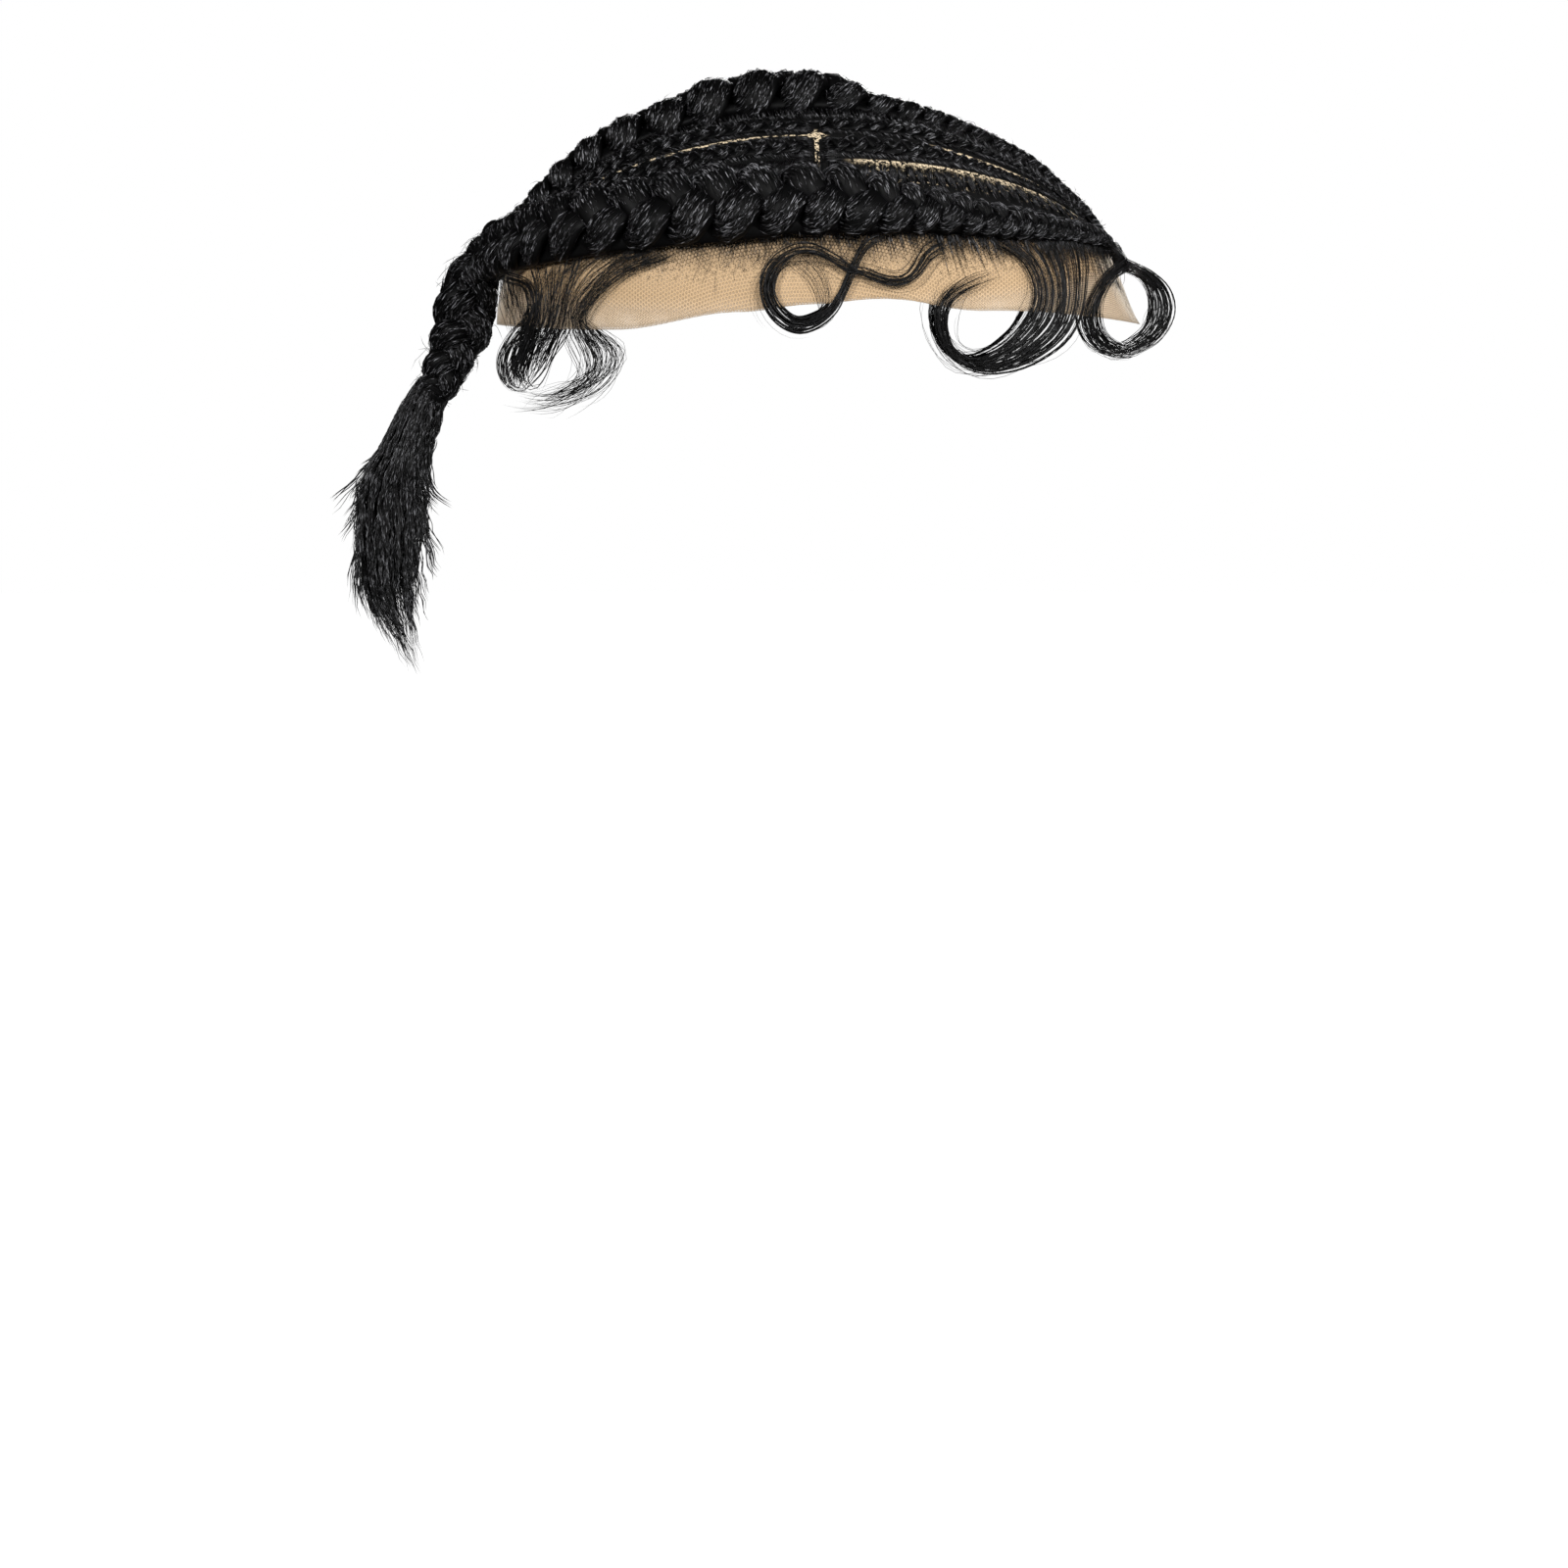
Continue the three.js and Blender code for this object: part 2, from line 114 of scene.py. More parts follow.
# %% The camera
CAMERA_DISTANCE = 3.2
CAMERA_X = -0.0089
CAMERA_HEIGHT = 0.02
LOOK_HEIGHT = -0.149
FRAME_WIDTH = 0.508
SENSOR_WIDTH = 36
camera = bpy.data.objects.new("camera", bpy.data.cameras.new("camera"))
camera.data.sensor_width = SENSOR_WIDTH
camera.data.lens = SENSOR_WIDTH * CAMERA_DISTANCE / FRAME_WIDTH
camera.location = (CAMERA_X, -CAMERA_DISTANCE, CAMERA_HEIGHT)
look = Vector((CAMERA_X, 0, LOOK_HEIGHT)) - camera.location
camera.rotation_euler = look.to_track_quat("-Z", "Y").to_euler()
scene.collection.objects.link(camera)
scene.camera = camera
print("lens in mm:", round(camera.data.lens, 1))

# %% [markdown]
# The floor is a large sheet of white paper. The camera sees it as pure white, like the room behind it. To
# all other rays it is a dull grey, so that it doesn't light the hair from below.

# %% The floor
FLOOR_RADIUS = 9
FLOOR_LEVEL = -0.387
floor_shape = bmesh.new()
bmesh.ops.create_circle(floor_shape, cap_ends=True, segments=96, radius=FLOOR_RADIUS)
bmesh.ops.translate(floor_shape, verts=floor_shape.verts, vec=(0, 0, FLOOR_LEVEL))
floor_mesh = bpy.data.meshes.new("floor")
floor_shape.to_mesh(floor_mesh)
floor_shape.free()
floor = bpy.data.objects.new("floor", floor_mesh)
scene.collection.objects.link(floor)
paper = bpy.data.materials.new("white_paper")
paper.use_nodes = True
paper_tree = paper.node_tree
paper_shader = paper_tree.nodes["Principled BSDF"]
paper_shader.inputs["Base Color"].default_value = (0.8, 0.8, 0.8, 1)
paper_shader.inputs["Roughness"].default_value = 0.9
paper_shader.inputs["Emission Color"].default_value = (1, 1, 1, 1)
paper_shader.inputs["Emission Strength"].default_value = 1.0
dim_paper = paper_tree.nodes.new("ShaderNodeBsdfDiffuse")
dim_paper.inputs["Color"].default_value = (0.3, 0.3, 0.3, 1)
paper_rays = paper_tree.nodes.new("ShaderNodeLightPath")
paper_mix = paper_tree.nodes.new("ShaderNodeMixShader")
paper_tree.links.new(paper_rays.outputs["Is Camera Ray"], paper_mix.inputs["Fac"])
paper_tree.links.new(dim_paper.outputs["BSDF"], paper_mix.inputs[1])
paper_tree.links.new(paper_shader.outputs["BSDF"], paper_mix.inputs[2])
paper_tree.links.new(paper_mix.outputs["Shader"], paper_tree.nodes["Material Output"].inputs["Surface"])
floor_mesh.materials.append(paper)
floor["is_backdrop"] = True
print("floor level in m:", FLOOR_LEVEL)

# %% [markdown]
# ## The form that it is shaped to
# The lace has no form of its own: it keeps that of the block that it was knotted on. The CAD model
# describes it as an egg with a squarish plan, and the same formula is repeated here, so that every hair
# can be placed on it. The functions take whole arrays of points, which makes tens of thousands of hairs
# quick.

# %% The dome as a formula
DOME_HALF_LENGTH = 101.3
DOME_HALF_WIDTH = 75.5
DOME_HEIGHT = 67.3
DOME_FULLNESS = 2.3
DOME_EGG = 0.05
SETTLING_PASSES = 5
SLOPE_STEP = 0.01


def unit(vectors):
    return vectors / np.maximum(np.linalg.norm(vectors, axis=-1, keepdims=True), 1e-9)


def half_width_at(x):
    return DOME_HALF_WIDTH * (1 - DOME_EGG * x / DOME_HALF_LENGTH)


def plan_size(x, y, at_x):
    in_length = (np.abs(x) / DOME_HALF_LENGTH) ** DOME_FULLNESS
    in_width = (np.abs(y) / half_width_at(at_x)) ** DOME_FULLNESS
    return (in_length + in_width) ** (1 / DOME_FULLNESS)


def dome_point(direction, from_height):
    """Where lines from the middle axis meet the dome. A few passes settle the width."""
    point = np.zeros_like(direction)
    for _ in range(SETTLING_PASSES):
        plan = plan_size(direction[..., 0], direction[..., 1], point[..., 0])
        a = plan**2 + (direction[..., 2] / DOME_HEIGHT) ** 2
        b = from_height * direction[..., 2] / DOME_HEIGHT**2
        c = (from_height / DOME_HEIGHT) ** 2 - 1
        reach = (-b + np.sqrt(b * b - a * c)) / a
        point = direction * reach[..., None]
        point[..., 2] += from_height
    return point


def dome_level(point):
    plan = plan_size(point[..., 0], point[..., 1], point[..., 0])
    return plan**2 + (point[..., 2] / DOME_HEIGHT) ** 2


def dome_normal(point):
    step = SLOPE_STEP * np.eye(3)
    slope = [dome_level(point + step[i]) - dome_level(point - step[i]) for i in range(3)]
    return unit(np.stack(slope, axis=-1))


def eased(share):
    return share * share * (3 - 2 * share)


def table_value(rows, at, column):
    """Reads a column of a table between its rows, with a smooth change from row to row."""
    rows = np.asarray(rows, float)
    at = np.clip(at, rows[0, 0], rows[-1, 0])
    after = np.clip(np.searchsorted(rows[:, 0], at, side="right"), 1, len(rows) - 1)
    before = after - 1
    share = eased((at - rows[before, 0]) / (rows[after, 0] - rows[before, 0]))
    return rows[before, column] * (1 - share) + rows[after, column] * share


print("dome in mm, length, width, height:", 2 * DOME_HALF_LENGTH, 2 * DOME_HALF_WIDTH, DOME_HEIGHT)

# %% [markdown]
# Cornrows run from a meeting point at the front hairline to one at the back, like lines of longitude on a
# globe that lies on its side. A place on a row is therefore two angles in degrees: the lean, away from
# the middle of the dome, and the turn, from front to back.

# %% Places on the rows
FRONT_MEETING = 23.5
BACK_MEETING = 19.0
ROW_CENTRE = (FRONT_MEETING + BACK_MEETING) / 2
ROW_SLOPE = np.arctan2(FRONT_MEETING - BACK_MEETING, 2 * DOME_HALF_LENGTH)
ROW_OFF = 1.3
ROW_STEP = 0.2
SINK_FROM = 95.0
SINK_TO = 150.0
SINK_MOST = 5.0


def row_point(lean, turn):
    lean, turn = np.broadcast_arrays(np.radians(lean), np.radians(turn))
    ahead = np.cos(turn)
    over = np.sin(turn) * np.cos(lean)
    direction = np.stack(
        [
            ahead * np.cos(ROW_SLOPE) - over * np.sin(ROW_SLOPE),
            -np.sin(turn) * np.sin(lean),
            ahead * np.sin(ROW_SLOPE) + over * np.cos(ROW_SLOPE),
        ],
        axis=-1,
    )
    return dome_point(direction, ROW_CENTRE)


def row_place(lean, turn, off=ROW_OFF):
    """The point just off the lace, and the directions out, along the row and across it."""
    point = row_point(lean, turn)
    out = dome_normal(point)
    along = row_point(lean, turn + ROW_STEP) - row_point(lean, turn - ROW_STEP)
    along = unit(along - out * np.sum(along * out, axis=-1, keepdims=True))
    return point + out * off, out, along, np.cross(along, out)


def sunk(turn):
    """How much further down the thin rows and their parting lie, in degrees, behind the crown."""
    return SINK_MOST * eased(np.clip((np.asarray(turn) - SINK_FROM) / (SINK_TO - SINK_FROM), 0, 1))


def row_angles(point):
    """The other way round: lean and turn, in degrees, of points on the dome."""
    up = point[..., 2] - ROW_CENTRE
    ahead = point[..., 0] * np.cos(ROW_SLOPE) + up * np.sin(ROW_SLOPE)
    over = up * np.cos(ROW_SLOPE) - point[..., 0] * np.sin(ROW_SLOPE)
    lean = np.degrees(np.arctan2(-point[..., 1], over))
    turn = np.degrees(np.arctan2(np.hypot(point[..., 1], over), ahead))
    return lean, turn


print("crown of the dome:", np.round(row_point(0, 90), 1))

# %% [markdown]
# ## Shader effects
# Two effects are made once as node groups. The first is the run of hair: fine streaks along each lock,
# which change its shine, raise a slight relief and lighten its tint: partly the hair's own uneven tone,
# mostly painted glints of highlight. It reads the hair's own UV, whose u follows the length of the hair
# in centimetres. The second is the hexagonal net of the lace. A few helpers keep the node code short.

# %% Helpers for nodes
MIX_SOCKETS = {"FLOAT": (2, 3, 0), "VECTOR": (4, 5, 1), "RGBA": (6, 7, 2)}


def node_group(name, takes, gives):
    group = bpy.data.node_groups.new(name, "ShaderNodeTree")
    for label, kind, start in takes:
        socket = group.interface.new_socket(name=label, in_out="INPUT", socket_type=kind)
        if start is not None:
            socket.default_value = start
    for label, kind in gives:
        group.interface.new_socket(name=label, in_out="OUTPUT", socket_type=kind)
    return group, group.nodes.new("NodeGroupInput").outputs, group.nodes.new("NodeGroupOutput").inputs


def add_node(tree, kind, links=(), **settings):
    """Adds a node, sets its properties, and feeds its inputs from (input, value or socket) pairs."""
    node = tree.nodes.new(kind)
    for key, value in settings.items():
        setattr(node, key, value)
    for key, value in links:
        if isinstance(value, bpy.types.NodeSocket):
            tree.links.new(value, node.inputs[key])
        else:
            node.inputs[key].default_value = value
    return node


def math_node(tree, operation, *values):
    return add_node(tree, "ShaderNodeMath", enumerate(values), operation=operation).outputs[0]


def vector_node(tree, operation, *values):
    node = add_node(tree, "ShaderNodeVectorMath", enumerate(values), operation=operation)
    return node.outputs["Value" if operation in {"LENGTH", "DOT_PRODUCT"} else "Vector"]


def soft_step(tree, value, low, high):
    """0 below low and 1 above high, with a smooth change. With low above high it runs the other way."""
    links = [("Value", value), ("From Min", low), ("From Max", high)]
    return add_node(tree, "ShaderNodeMapRange", links, interpolation_type="SMOOTHSTEP").outputs["Result"]


def mixed(tree, kind, share, first, second):
    """Mixes two numbers, vectors or colours. Each is a socket or a plain value."""
    first_entry, second_entry, result = MIX_SOCKETS[kind]
    links = [("Factor", share), (first_entry, first), (second_entry, second)]
    return add_node(tree, "ShaderNodeMix", links, data_type=kind).outputs[result]


print("kinds of mix:", list(MIX_SOCKETS))

# %% The run of hair
STREAKS = (2.4, 16, 1)
FINE_STREAKS = (5.0, 42, 1)
FINE_SHARE = 0.45
GLINT_BAND = (0.5, 0.68)
DULL_ROUGHNESS = 0.5
LIT_CHANGE = -0.22
run, taken, given = node_group(
    "run_of_hair",
    [
        ("Lie", "NodeSocketVector", None),
        ("Dark", "NodeSocketColor", None),
        ("Light", "NodeSocketColor", None),
    ],
    [("Tint", "NodeSocketColor"), ("Roughness", "NodeSocketFloat"), ("Relief", "NodeSocketFloat")],
)


def streak_noise(scale, detail):
    streak_place = vector_node(run, "MULTIPLY", taken["Lie"], scale)
    links = [("Vector", streak_place), ("Scale", 1.0), ("Detail", detail)]
    return add_node(run, "ShaderNodeTexNoise", links).outputs["Fac"]


broad = math_node(run, "MULTIPLY", streak_noise(STREAKS, 2.0), 1 - FINE_SHARE)
grain = math_node(run, "MULTIPLY_ADD", streak_noise(FINE_STREAKS, 1.0), FINE_SHARE, broad)
# Streaks past the band take the Light tint: mostly painted glints of highlight, partly the hair's own uneven
# tone. They are also less rough.
painted_glint = soft_step(run, grain, *GLINT_BAND)
run.links.new(mixed(run, "RGBA", painted_glint, taken["Dark"], taken["Light"]), given["Tint"])
run.links.new(math_node(run, "MULTIPLY_ADD", painted_glint, LIT_CHANGE, DULL_ROUGHNESS), given["Roughness"])
run.links.new(grain, given["Relief"])
print("streaks a centimetre, along and across:", STREAKS[:2], FINE_STREAKS[:2])

# %% The hexagonal net
CELL = (1.0, 3**0.5, 1.0)
HALF_CELL = (0.5, 3**0.5 / 2, 0.0)
CELL_EDGE = 0.5
THREAD_CORE = -0.6
KNOT_BAND = (0.42, 0.5)
net, taken, given = node_group(
    "hexagonal_net",
    [
        ("Place", "NodeSocketVector", None),
        ("Pitch", "NodeSocketFloat", 1.0),
        ("Thread", "NodeSocketFloat", 0.1),
    ],
    [("Net", "NodeSocketFloat"), ("Knot", "NodeSocketFloat")],
)
scaling = [(0, taken["Place"]), ("Scale", math_node(net, "DIVIDE", 1.0, taken["Pitch"]))]
in_cells = add_node(net, "ShaderNodeVectorMath", scaling, operation="SCALE").outputs["Vector"]
first = vector_node(net, "SUBTRACT", vector_node(net, "MODULO", in_cells, CELL), HALF_CELL)
moved = vector_node(net, "ADD", in_cells, HALF_CELL)
second = vector_node(net, "SUBTRACT", vector_node(net, "MODULO", moved, CELL), HALF_CELL)
nearer = math_node(net, "LESS_THAN", vector_node(net, "LENGTH", first), vector_node(net, "LENGTH", second))
spread = vector_node(net, "ABSOLUTE", mixed(net, "VECTOR", nearer, second, first))
slanted = vector_node(net, "DOT_PRODUCT", spread, HALF_CELL)
upright = add_node(net, "ShaderNodeSeparateXYZ", [("Vector", spread)]).outputs["X"]
edge = math_node(net, "MAXIMUM", slanted, upright)
inner = math_node(net, "SUBTRACT", CELL_EDGE, taken["Thread"])
core = math_node(net, "MULTIPLY_ADD", taken["Thread"], THREAD_CORE, CELL_EDGE)
net.links.new(soft_step(net, edge, inner, core), given["Net"])
net.links.new(soft_step(net, vector_node(net, "LENGTH", spread), *KNOT_BAND), given["Knot"])
print("node groups:", [group.name for group in bpy.data.node_groups])

# %% [markdown]
# ## Black hair
# Hair is a dark fibre with a weak, broad shine. The single hairs carry that shine: on a thin tube it
# becomes a bright line, and the streaks add painted glints in a lighter tint. The body of a lock, which
# only shows between the hairs that lie on it, takes a shaded copy of the material, darker and nearly
# dull: painted shade that keeps the grooves black. All the hair materials take their streaks from the
# same group.

# %% The hair materials
COOL = 1.06
RELIEF_DEPTH = 0.0004


def hair_material(name, dark, light, specular, relief):
    material = bpy.data.materials.new(name)
    material.use_nodes = True
    tree = material.node_tree
    shader = tree.nodes["Principled BSDF"]
    lie = add_node(tree, "ShaderNodeUVMap", uv_map="UVMap").outputs["UV"]
    tones = [("Dark", (dark, dark, dark * COOL, 1)), ("Light", (light, light, light * COOL, 1))]
    streaks = add_node(tree, "ShaderNodeGroup", [("Lie", lie), *tones], node_tree=run).outputs
    height = [("Height", streaks["Relief"]), ("Strength", relief), ("Distance", RELIEF_DEPTH)]
    bump = add_node(tree, "ShaderNodeBump", height)
    tree.links.new(streaks["Tint"], shader.inputs["Base Color"])
    tree.links.new(streaks["Roughness"], shader.inputs["Roughness"])
    tree.links.new(bump.outputs["Normal"], shader.inputs["Normal"])
    shader.inputs["Specular IOR Level"].default_value = specular
    return material


# The light tint paints the glints in the streaks. The shaded copy is painted shade for the lock bodies and
# for fibres in the grooves.
hair = hair_material("black_hair", dark=0.001, light=0.25, specular=0.12, relief=0.2)
loose_hair = hair_material("loose_hair", dark=0.001, light=0.025, specular=0.14, relief=0.1)
brush_hair = hair_material("brush_hair", dark=0.001, light=0.13, specular=0.18, relief=0.15)
shaded_copy_hair = hair_material("shaded_hair", dark=0.001, light=0.006, specular=0.05, relief=0.8)
print("materials:", [material.name for material in (hair, loose_hair, brush_hair, shaded_copy_hair)])

# %% [markdown]
# ## Single hairs
# A hair is a spindle with three sides, closed to a point at both ends, swept along a line of points. A
# curve object with a bevel could do it, but not for tens of thousands of hairs at once, so the points are
# laid out as arrays and one mesh takes them all.

# %% Hairs from lines of points
HAIR_SIDES = 3
ASKEW = (0.37, 0.61, 0.70)
ROOT_TAPER = (0.8, 3)
TIP_TAPER = 0.18
TAPER_POWER = 0.7
LOTS = 40


def spindle_faces(hairs, rings):
    """The corners of all faces of the hairs, tips first, and how many corners each face has."""
    each = rings * HAIR_SIDES + 2
    j = np.arange(HAIR_SIDES)
    k = (j + 1) % HAIR_SIDES
    last = 1 + HAIR_SIDES * (rings - 1)
    tips = [np.stack([0 * j, 1 + k, 1 + j], 1), np.stack([0 * j + each - 1, last + j, last + k], 1)]
    start = 1 + HAIR_SIDES * np.arange(rings - 1)[:, None]
    after = start + HAIR_SIDES
    quads = np.stack([start + j, start + k, after + k, after + j], -1).reshape(-1, 4)
    first = each * np.arange(hairs)[:, None, None]
    corners = np.concatenate([(np.concatenate(tips) + first).ravel(), (quads + first).ravel()])
    counts = np.concatenate([np.full(2 * HAIR_SIDES * hairs, 3), np.full(len(quads) * hairs, 4)])
    return corners, counts


def spindle_uv(run_length, rings):
    """u is the length in cm and v runs round the hair. Each hair draws a lot for its own streaks."""
    lengths = run_length / 10
    on_walls = np.repeat(lengths[:, 1:-1], HAIR_SIDES, axis=1)
    u = np.concatenate([lengths[:, :1], on_walls, lengths[:, -1:]], axis=1)
    lot = rng.random((len(lengths), 1)) * LOTS
    round_hair = np.concatenate([[0], np.tile(np.arange(HAIR_SIDES), rings) * 0.01, [0]])
    v = np.broadcast_to(lot + round_hair, u.shape)
    return np.stack([u.ravel() + np.repeat(lot[:, 0] * 3, u.shape[1]), v.ravel()], -1)


def hair_mesh(paths, radius):
    """paths is (hairs, points, 3) in mm and radius one number for each hair."""
    hairs, points, _ = paths.shape
    rings = points - 2
    tangent = unit(np.gradient(paths, axis=1))
    side = unit(np.cross(tangent, ASKEW))
    up = np.cross(tangent, side)
    run_length = np.cumsum(np.linalg.norm(np.diff(paths, axis=1, prepend=paths[:, :1]), axis=-1), axis=1)
    whole = run_length[:, -1:]
    from_root = (run_length + ROOT_TAPER[0]) / ROOT_TAPER[1]
    from_tip = (whole - run_length) / (TIP_TAPER * whole)
    taper = np.clip(np.minimum(from_root, from_tip), 0, 1) ** TAPER_POWER
    thick = (np.asarray(radius)[:, None] * taper)[:, 1:-1, None, None]
    corner = 2 * np.pi * np.arange(HAIR_SIDES) / HAIR_SIDES
    around = np.cos(corner)[:, None] * side[:, 1:-1, None] + np.sin(corner)[:, None] * up[:, 1:-1, None]
    walls = (paths[:, 1:-1, None] + thick * around).reshape(hairs, rings * HAIR_SIDES, 3)
    spots = np.concatenate([paths[:, :1], walls, paths[:, -1:]], axis=1)
    corners, counts = spindle_faces(hairs, rings)
    mesh = bpy.data.meshes.new("hairs")
    mesh.vertices.add(hairs * spots.shape[1])
    mesh.vertices.foreach_set("co", (spots * MM).ravel())
    mesh.loops.add(len(corners))
    mesh.loops.foreach_set("vertex_index", corners)
    mesh.polygons.add(len(counts))
    mesh.polygons.foreach_set("loop_start", np.concatenate([[0], np.cumsum(counts)[:-1]]))
    mesh.update(calc_edges=True)
    uv = mesh.uv_layers.new(name="UVMap")
    uv.data.foreach_set("uv", spindle_uv(run_length, rings)[corners].ravel())
    return mesh


print("triangles in a hair of ten points:", len(spindle_faces(1, 8)[1]) * 2 - 2 * HAIR_SIDES)

# %% [markdown]
# Hairs are gathered in a bmesh for each piece. A piece is finished the same way each time: it becomes an
# object, rides on the one body, and hides the CAD node that it stands for.

# %% From hairs to finished pieces
tally = {}


def hair_shape():
    """An empty piece that keeps the UV of the hairs that are added to it."""
    shape = bmesh.new()
    shape.loops.layers.uv.verify()
    return shape


def add_hairs(shape, paths, radius, material=0, scale=1.0):
    """Adds hairs to a piece. radius is the least and the most of their half thickness."""
    mesh = hair_mesh(paths, rng.uniform(radius[0], radius[1], len(paths)) * scale)
    mesh.polygons.foreach_set("material_index", np.full(len(mesh.polygons), material))
    shape.from_mesh(mesh)
    bpy.data.meshes.remove(mesh)


def finish_piece(shape, name, materials, nodes=()):
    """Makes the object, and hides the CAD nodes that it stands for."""
    mesh = bpy.data.meshes.new(name)
    shape.to_mesh(mesh)
    shape.free()
    mesh.shade_smooth()
    for material in materials:
        mesh.materials.append(material)
    piece = bpy.data.objects.new(name, mesh)
    scene.collection.objects.link(piece)
    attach(piece, "root")
    if nodes:
        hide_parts(*nodes)
    tally[name] = sum(len(face.vertices) - 2 for face in mesh.polygons)
    print(f"{name}: {tally[name]} triangles")
    return piece


# %% [markdown]
# ## The lace
# The base is a sheer net, cut to an oval and eased over the block until it takes the dome's form. It
# starts as a flat grid: one direction runs round the dome and the other from the crown to the rim, where
# the CAD model gives the height of the edge and the places where the loose edge stands away. Its UV is
# the distance from the crown in millimetres, so the net keeps its size, and two values kept on its points
# say where it lies among the rows, so that the material knows where hair is knotted in and where the
# partings are bare.

# %% The rim and its loose places
RIM = [
    # bearing in degrees from the front, height
    (0, 0),
    (50, 5.5),
    (75, 11),
    (90, 9),
    (107, 5.5),
    (133, -1.5),
    (180, 0),
]
LIFTS = [
    # bearing in degrees, spread in degrees, how far it stands away
    (0, 20, 4.5),
    (66, 6, 3),
]
LIFT_HEIGHT = 6
LACE_OFF = 0.45
LACE_THICKNESS = 0.22


def rim_height(bearing):
    return table_value(RIM, np.abs(bearing), 1)


def lace_lift(bearing, height):
    above = np.maximum(0, height - rim_height(bearing))
    lift = 0
    for azimuth, span, most in LIFTS:
        lift = lift + most * np.exp(-(((np.abs(bearing) - azimuth) / span) ** 2))
    return lift * np.exp(-above / LIFT_HEIGHT)


def lace_point(bearing, share):
    """The point of the dome at a share of the way from the crown to the rim, and the direction out."""
    rim_turn = np.arccos(rim_height(bearing) / DOME_HEIGHT)
    spread = DOME_HALF_LENGTH * np.sin(rim_turn * share)
    height = DOME_HEIGHT * np.cos(rim_turn * share)
    around = np.radians(bearing)
    line = np.stack([np.cos(around) * spread, np.sin(around) * spread, height], axis=-1)
    point = dome_point(unit(line), 0)
    return point, dome_normal(point)


print("rim height in mm, front, side and back:", [float(rim_height(bearing)) for bearing in (0, 90, 180)])

# %% Roll the grid over the dome
LACE_ROUND = 120
LACE_DOWN = 44
UV_MARGIN = 200
lace_shape = bmesh.new()
lace_uv = lace_shape.loops.layers.uv.new("UVMap")
lean_layer = lace_shape.verts.layers.float.new("row_lean")
turn_layer = lace_shape.verts.layers.float.new("row_turn")
grid = bmesh.ops.create_grid(lace_shape, x_segments=LACE_DOWN, y_segments=LACE_ROUND, size=0.5)
bearings = 360 * np.arange(LACE_ROUND + 1) / LACE_ROUND - 180
bearings[-1] = bearings[0]
bearing_grid, share_grid = np.meshgrid(bearings, np.arange(LACE_DOWN + 1) / LACE_DOWN, indexing="ij")
lace_at, lace_out = lace_point(bearing_grid, share_grid)
leans, turns = row_angles(lace_at)
lace_at = lace_at + lace_out * (LACE_OFF + lace_lift(bearing_grid, lace_at[..., 2]))[..., None]
down_steps = np.linalg.norm(np.diff(lace_at, axis=1, prepend=lace_at[:, :1]), axis=-1)
down = np.cumsum(down_steps, axis=1)
for vert in grid["verts"]:
    i = round((vert.co.y + 0.5) * LACE_ROUND)
    j = round((vert.co.x + 0.5) * LACE_DOWN)
    vert.co = lace_at[i, j] * MM
    vert[lean_layer] = abs(leans[i, j])
    vert[turn_layer] = turns[i, j]
    angle = np.radians(bearings[i])
    flat_place = (UV_MARGIN + down[i, j] * np.cos(angle), UV_MARGIN + down[i, j] * np.sin(angle))
    for corner in vert.link_loops:
        corner[lace_uv].uv = flat_place
bmesh.ops.remove_doubles(lace_shape, verts=lace_shape.verts, dist=1e-6)
bmesh.ops.recalc_face_normals(lace_shape, faces=lace_shape.faces)
lace_area = sum(face.calc_area() for face in lace_shape.faces)
print("lace area in m2:", round(lace_area, 4))

# %% [markdown]
# The material works with masks. Where it lies on the lace it knows from the UV and from the two values on
# the points, the lean and the turn of the rows. Hair is knotted in everywhere between the braids, so
# there the cloth is closed and black. It is bare along the partings, and below the side braids it is an
# open net, with fewer knots the further down it is. The first cell places two nets, a coarse one and a
# finer one at the edge.

# %% The lace material and its nets
COARSE_NET = (1.36, 0.19)
FINE_NET = (0.8, 0.17)
FINE_NET_ENDS = (104.0, 101.0)
lace = bpy.data.materials.new("tan_lace")
lace.use_nodes = True
lace_tree = lace.node_tree
place = add_node(lace_tree, "ShaderNodeUVMap", uv_map="UVMap").outputs["UV"]
lean = add_node(lace_tree, "ShaderNodeAttribute", attribute_name="row_lean").outputs["Fac"]
turn = add_node(lace_tree, "ShaderNodeAttribute", attribute_name="row_turn").outputs["Fac"]


def knit(pitch, thread):
    links = [("Place", place), ("Pitch", pitch), ("Thread", thread)]
    return add_node(lace_tree, "ShaderNodeGroup", links, node_tree=net).outputs


def on_lace(operation, *values):
    return math_node(lace_tree, operation, *values)


def fade(value, span):
    """A mask that grows from 0 at the first end of a span to 1 at the second."""
    return soft_step(lace_tree, value, *span)


def overlap(mask, *others):
    for other in others:
        mask = on_lace("MULTIPLY", mask, other)
    return mask


def union(mask, *others):
    for other in others:
        mask = on_lace("MAXIMUM", mask, other)
    return mask


coarse = knit(*COARSE_NET)
finer = knit(*FINE_NET)
net_threads = mixed(lace_tree, "FLOAT", fade(lean, FINE_NET_ENDS), finer["Net"], coarse["Net"])
print("pitch of the nets in mm:", COARSE_NET[0], FINE_NET[0])

# %% [markdown]
# Three bare lines run through the tied hair of each side. The upper parting lies between the two thin
# rows. It is lower and wider at the front, hidden before the crown, and thin just behind it. A short line
# crosses it at the crown, widest where the two meet. The lower parting lies above the side braid and ends
# before the crown. It is broken into bare patches, fewer further down, like the rungs of a ladder. A
# noise breaks up all three, as the hairs that cross them do.

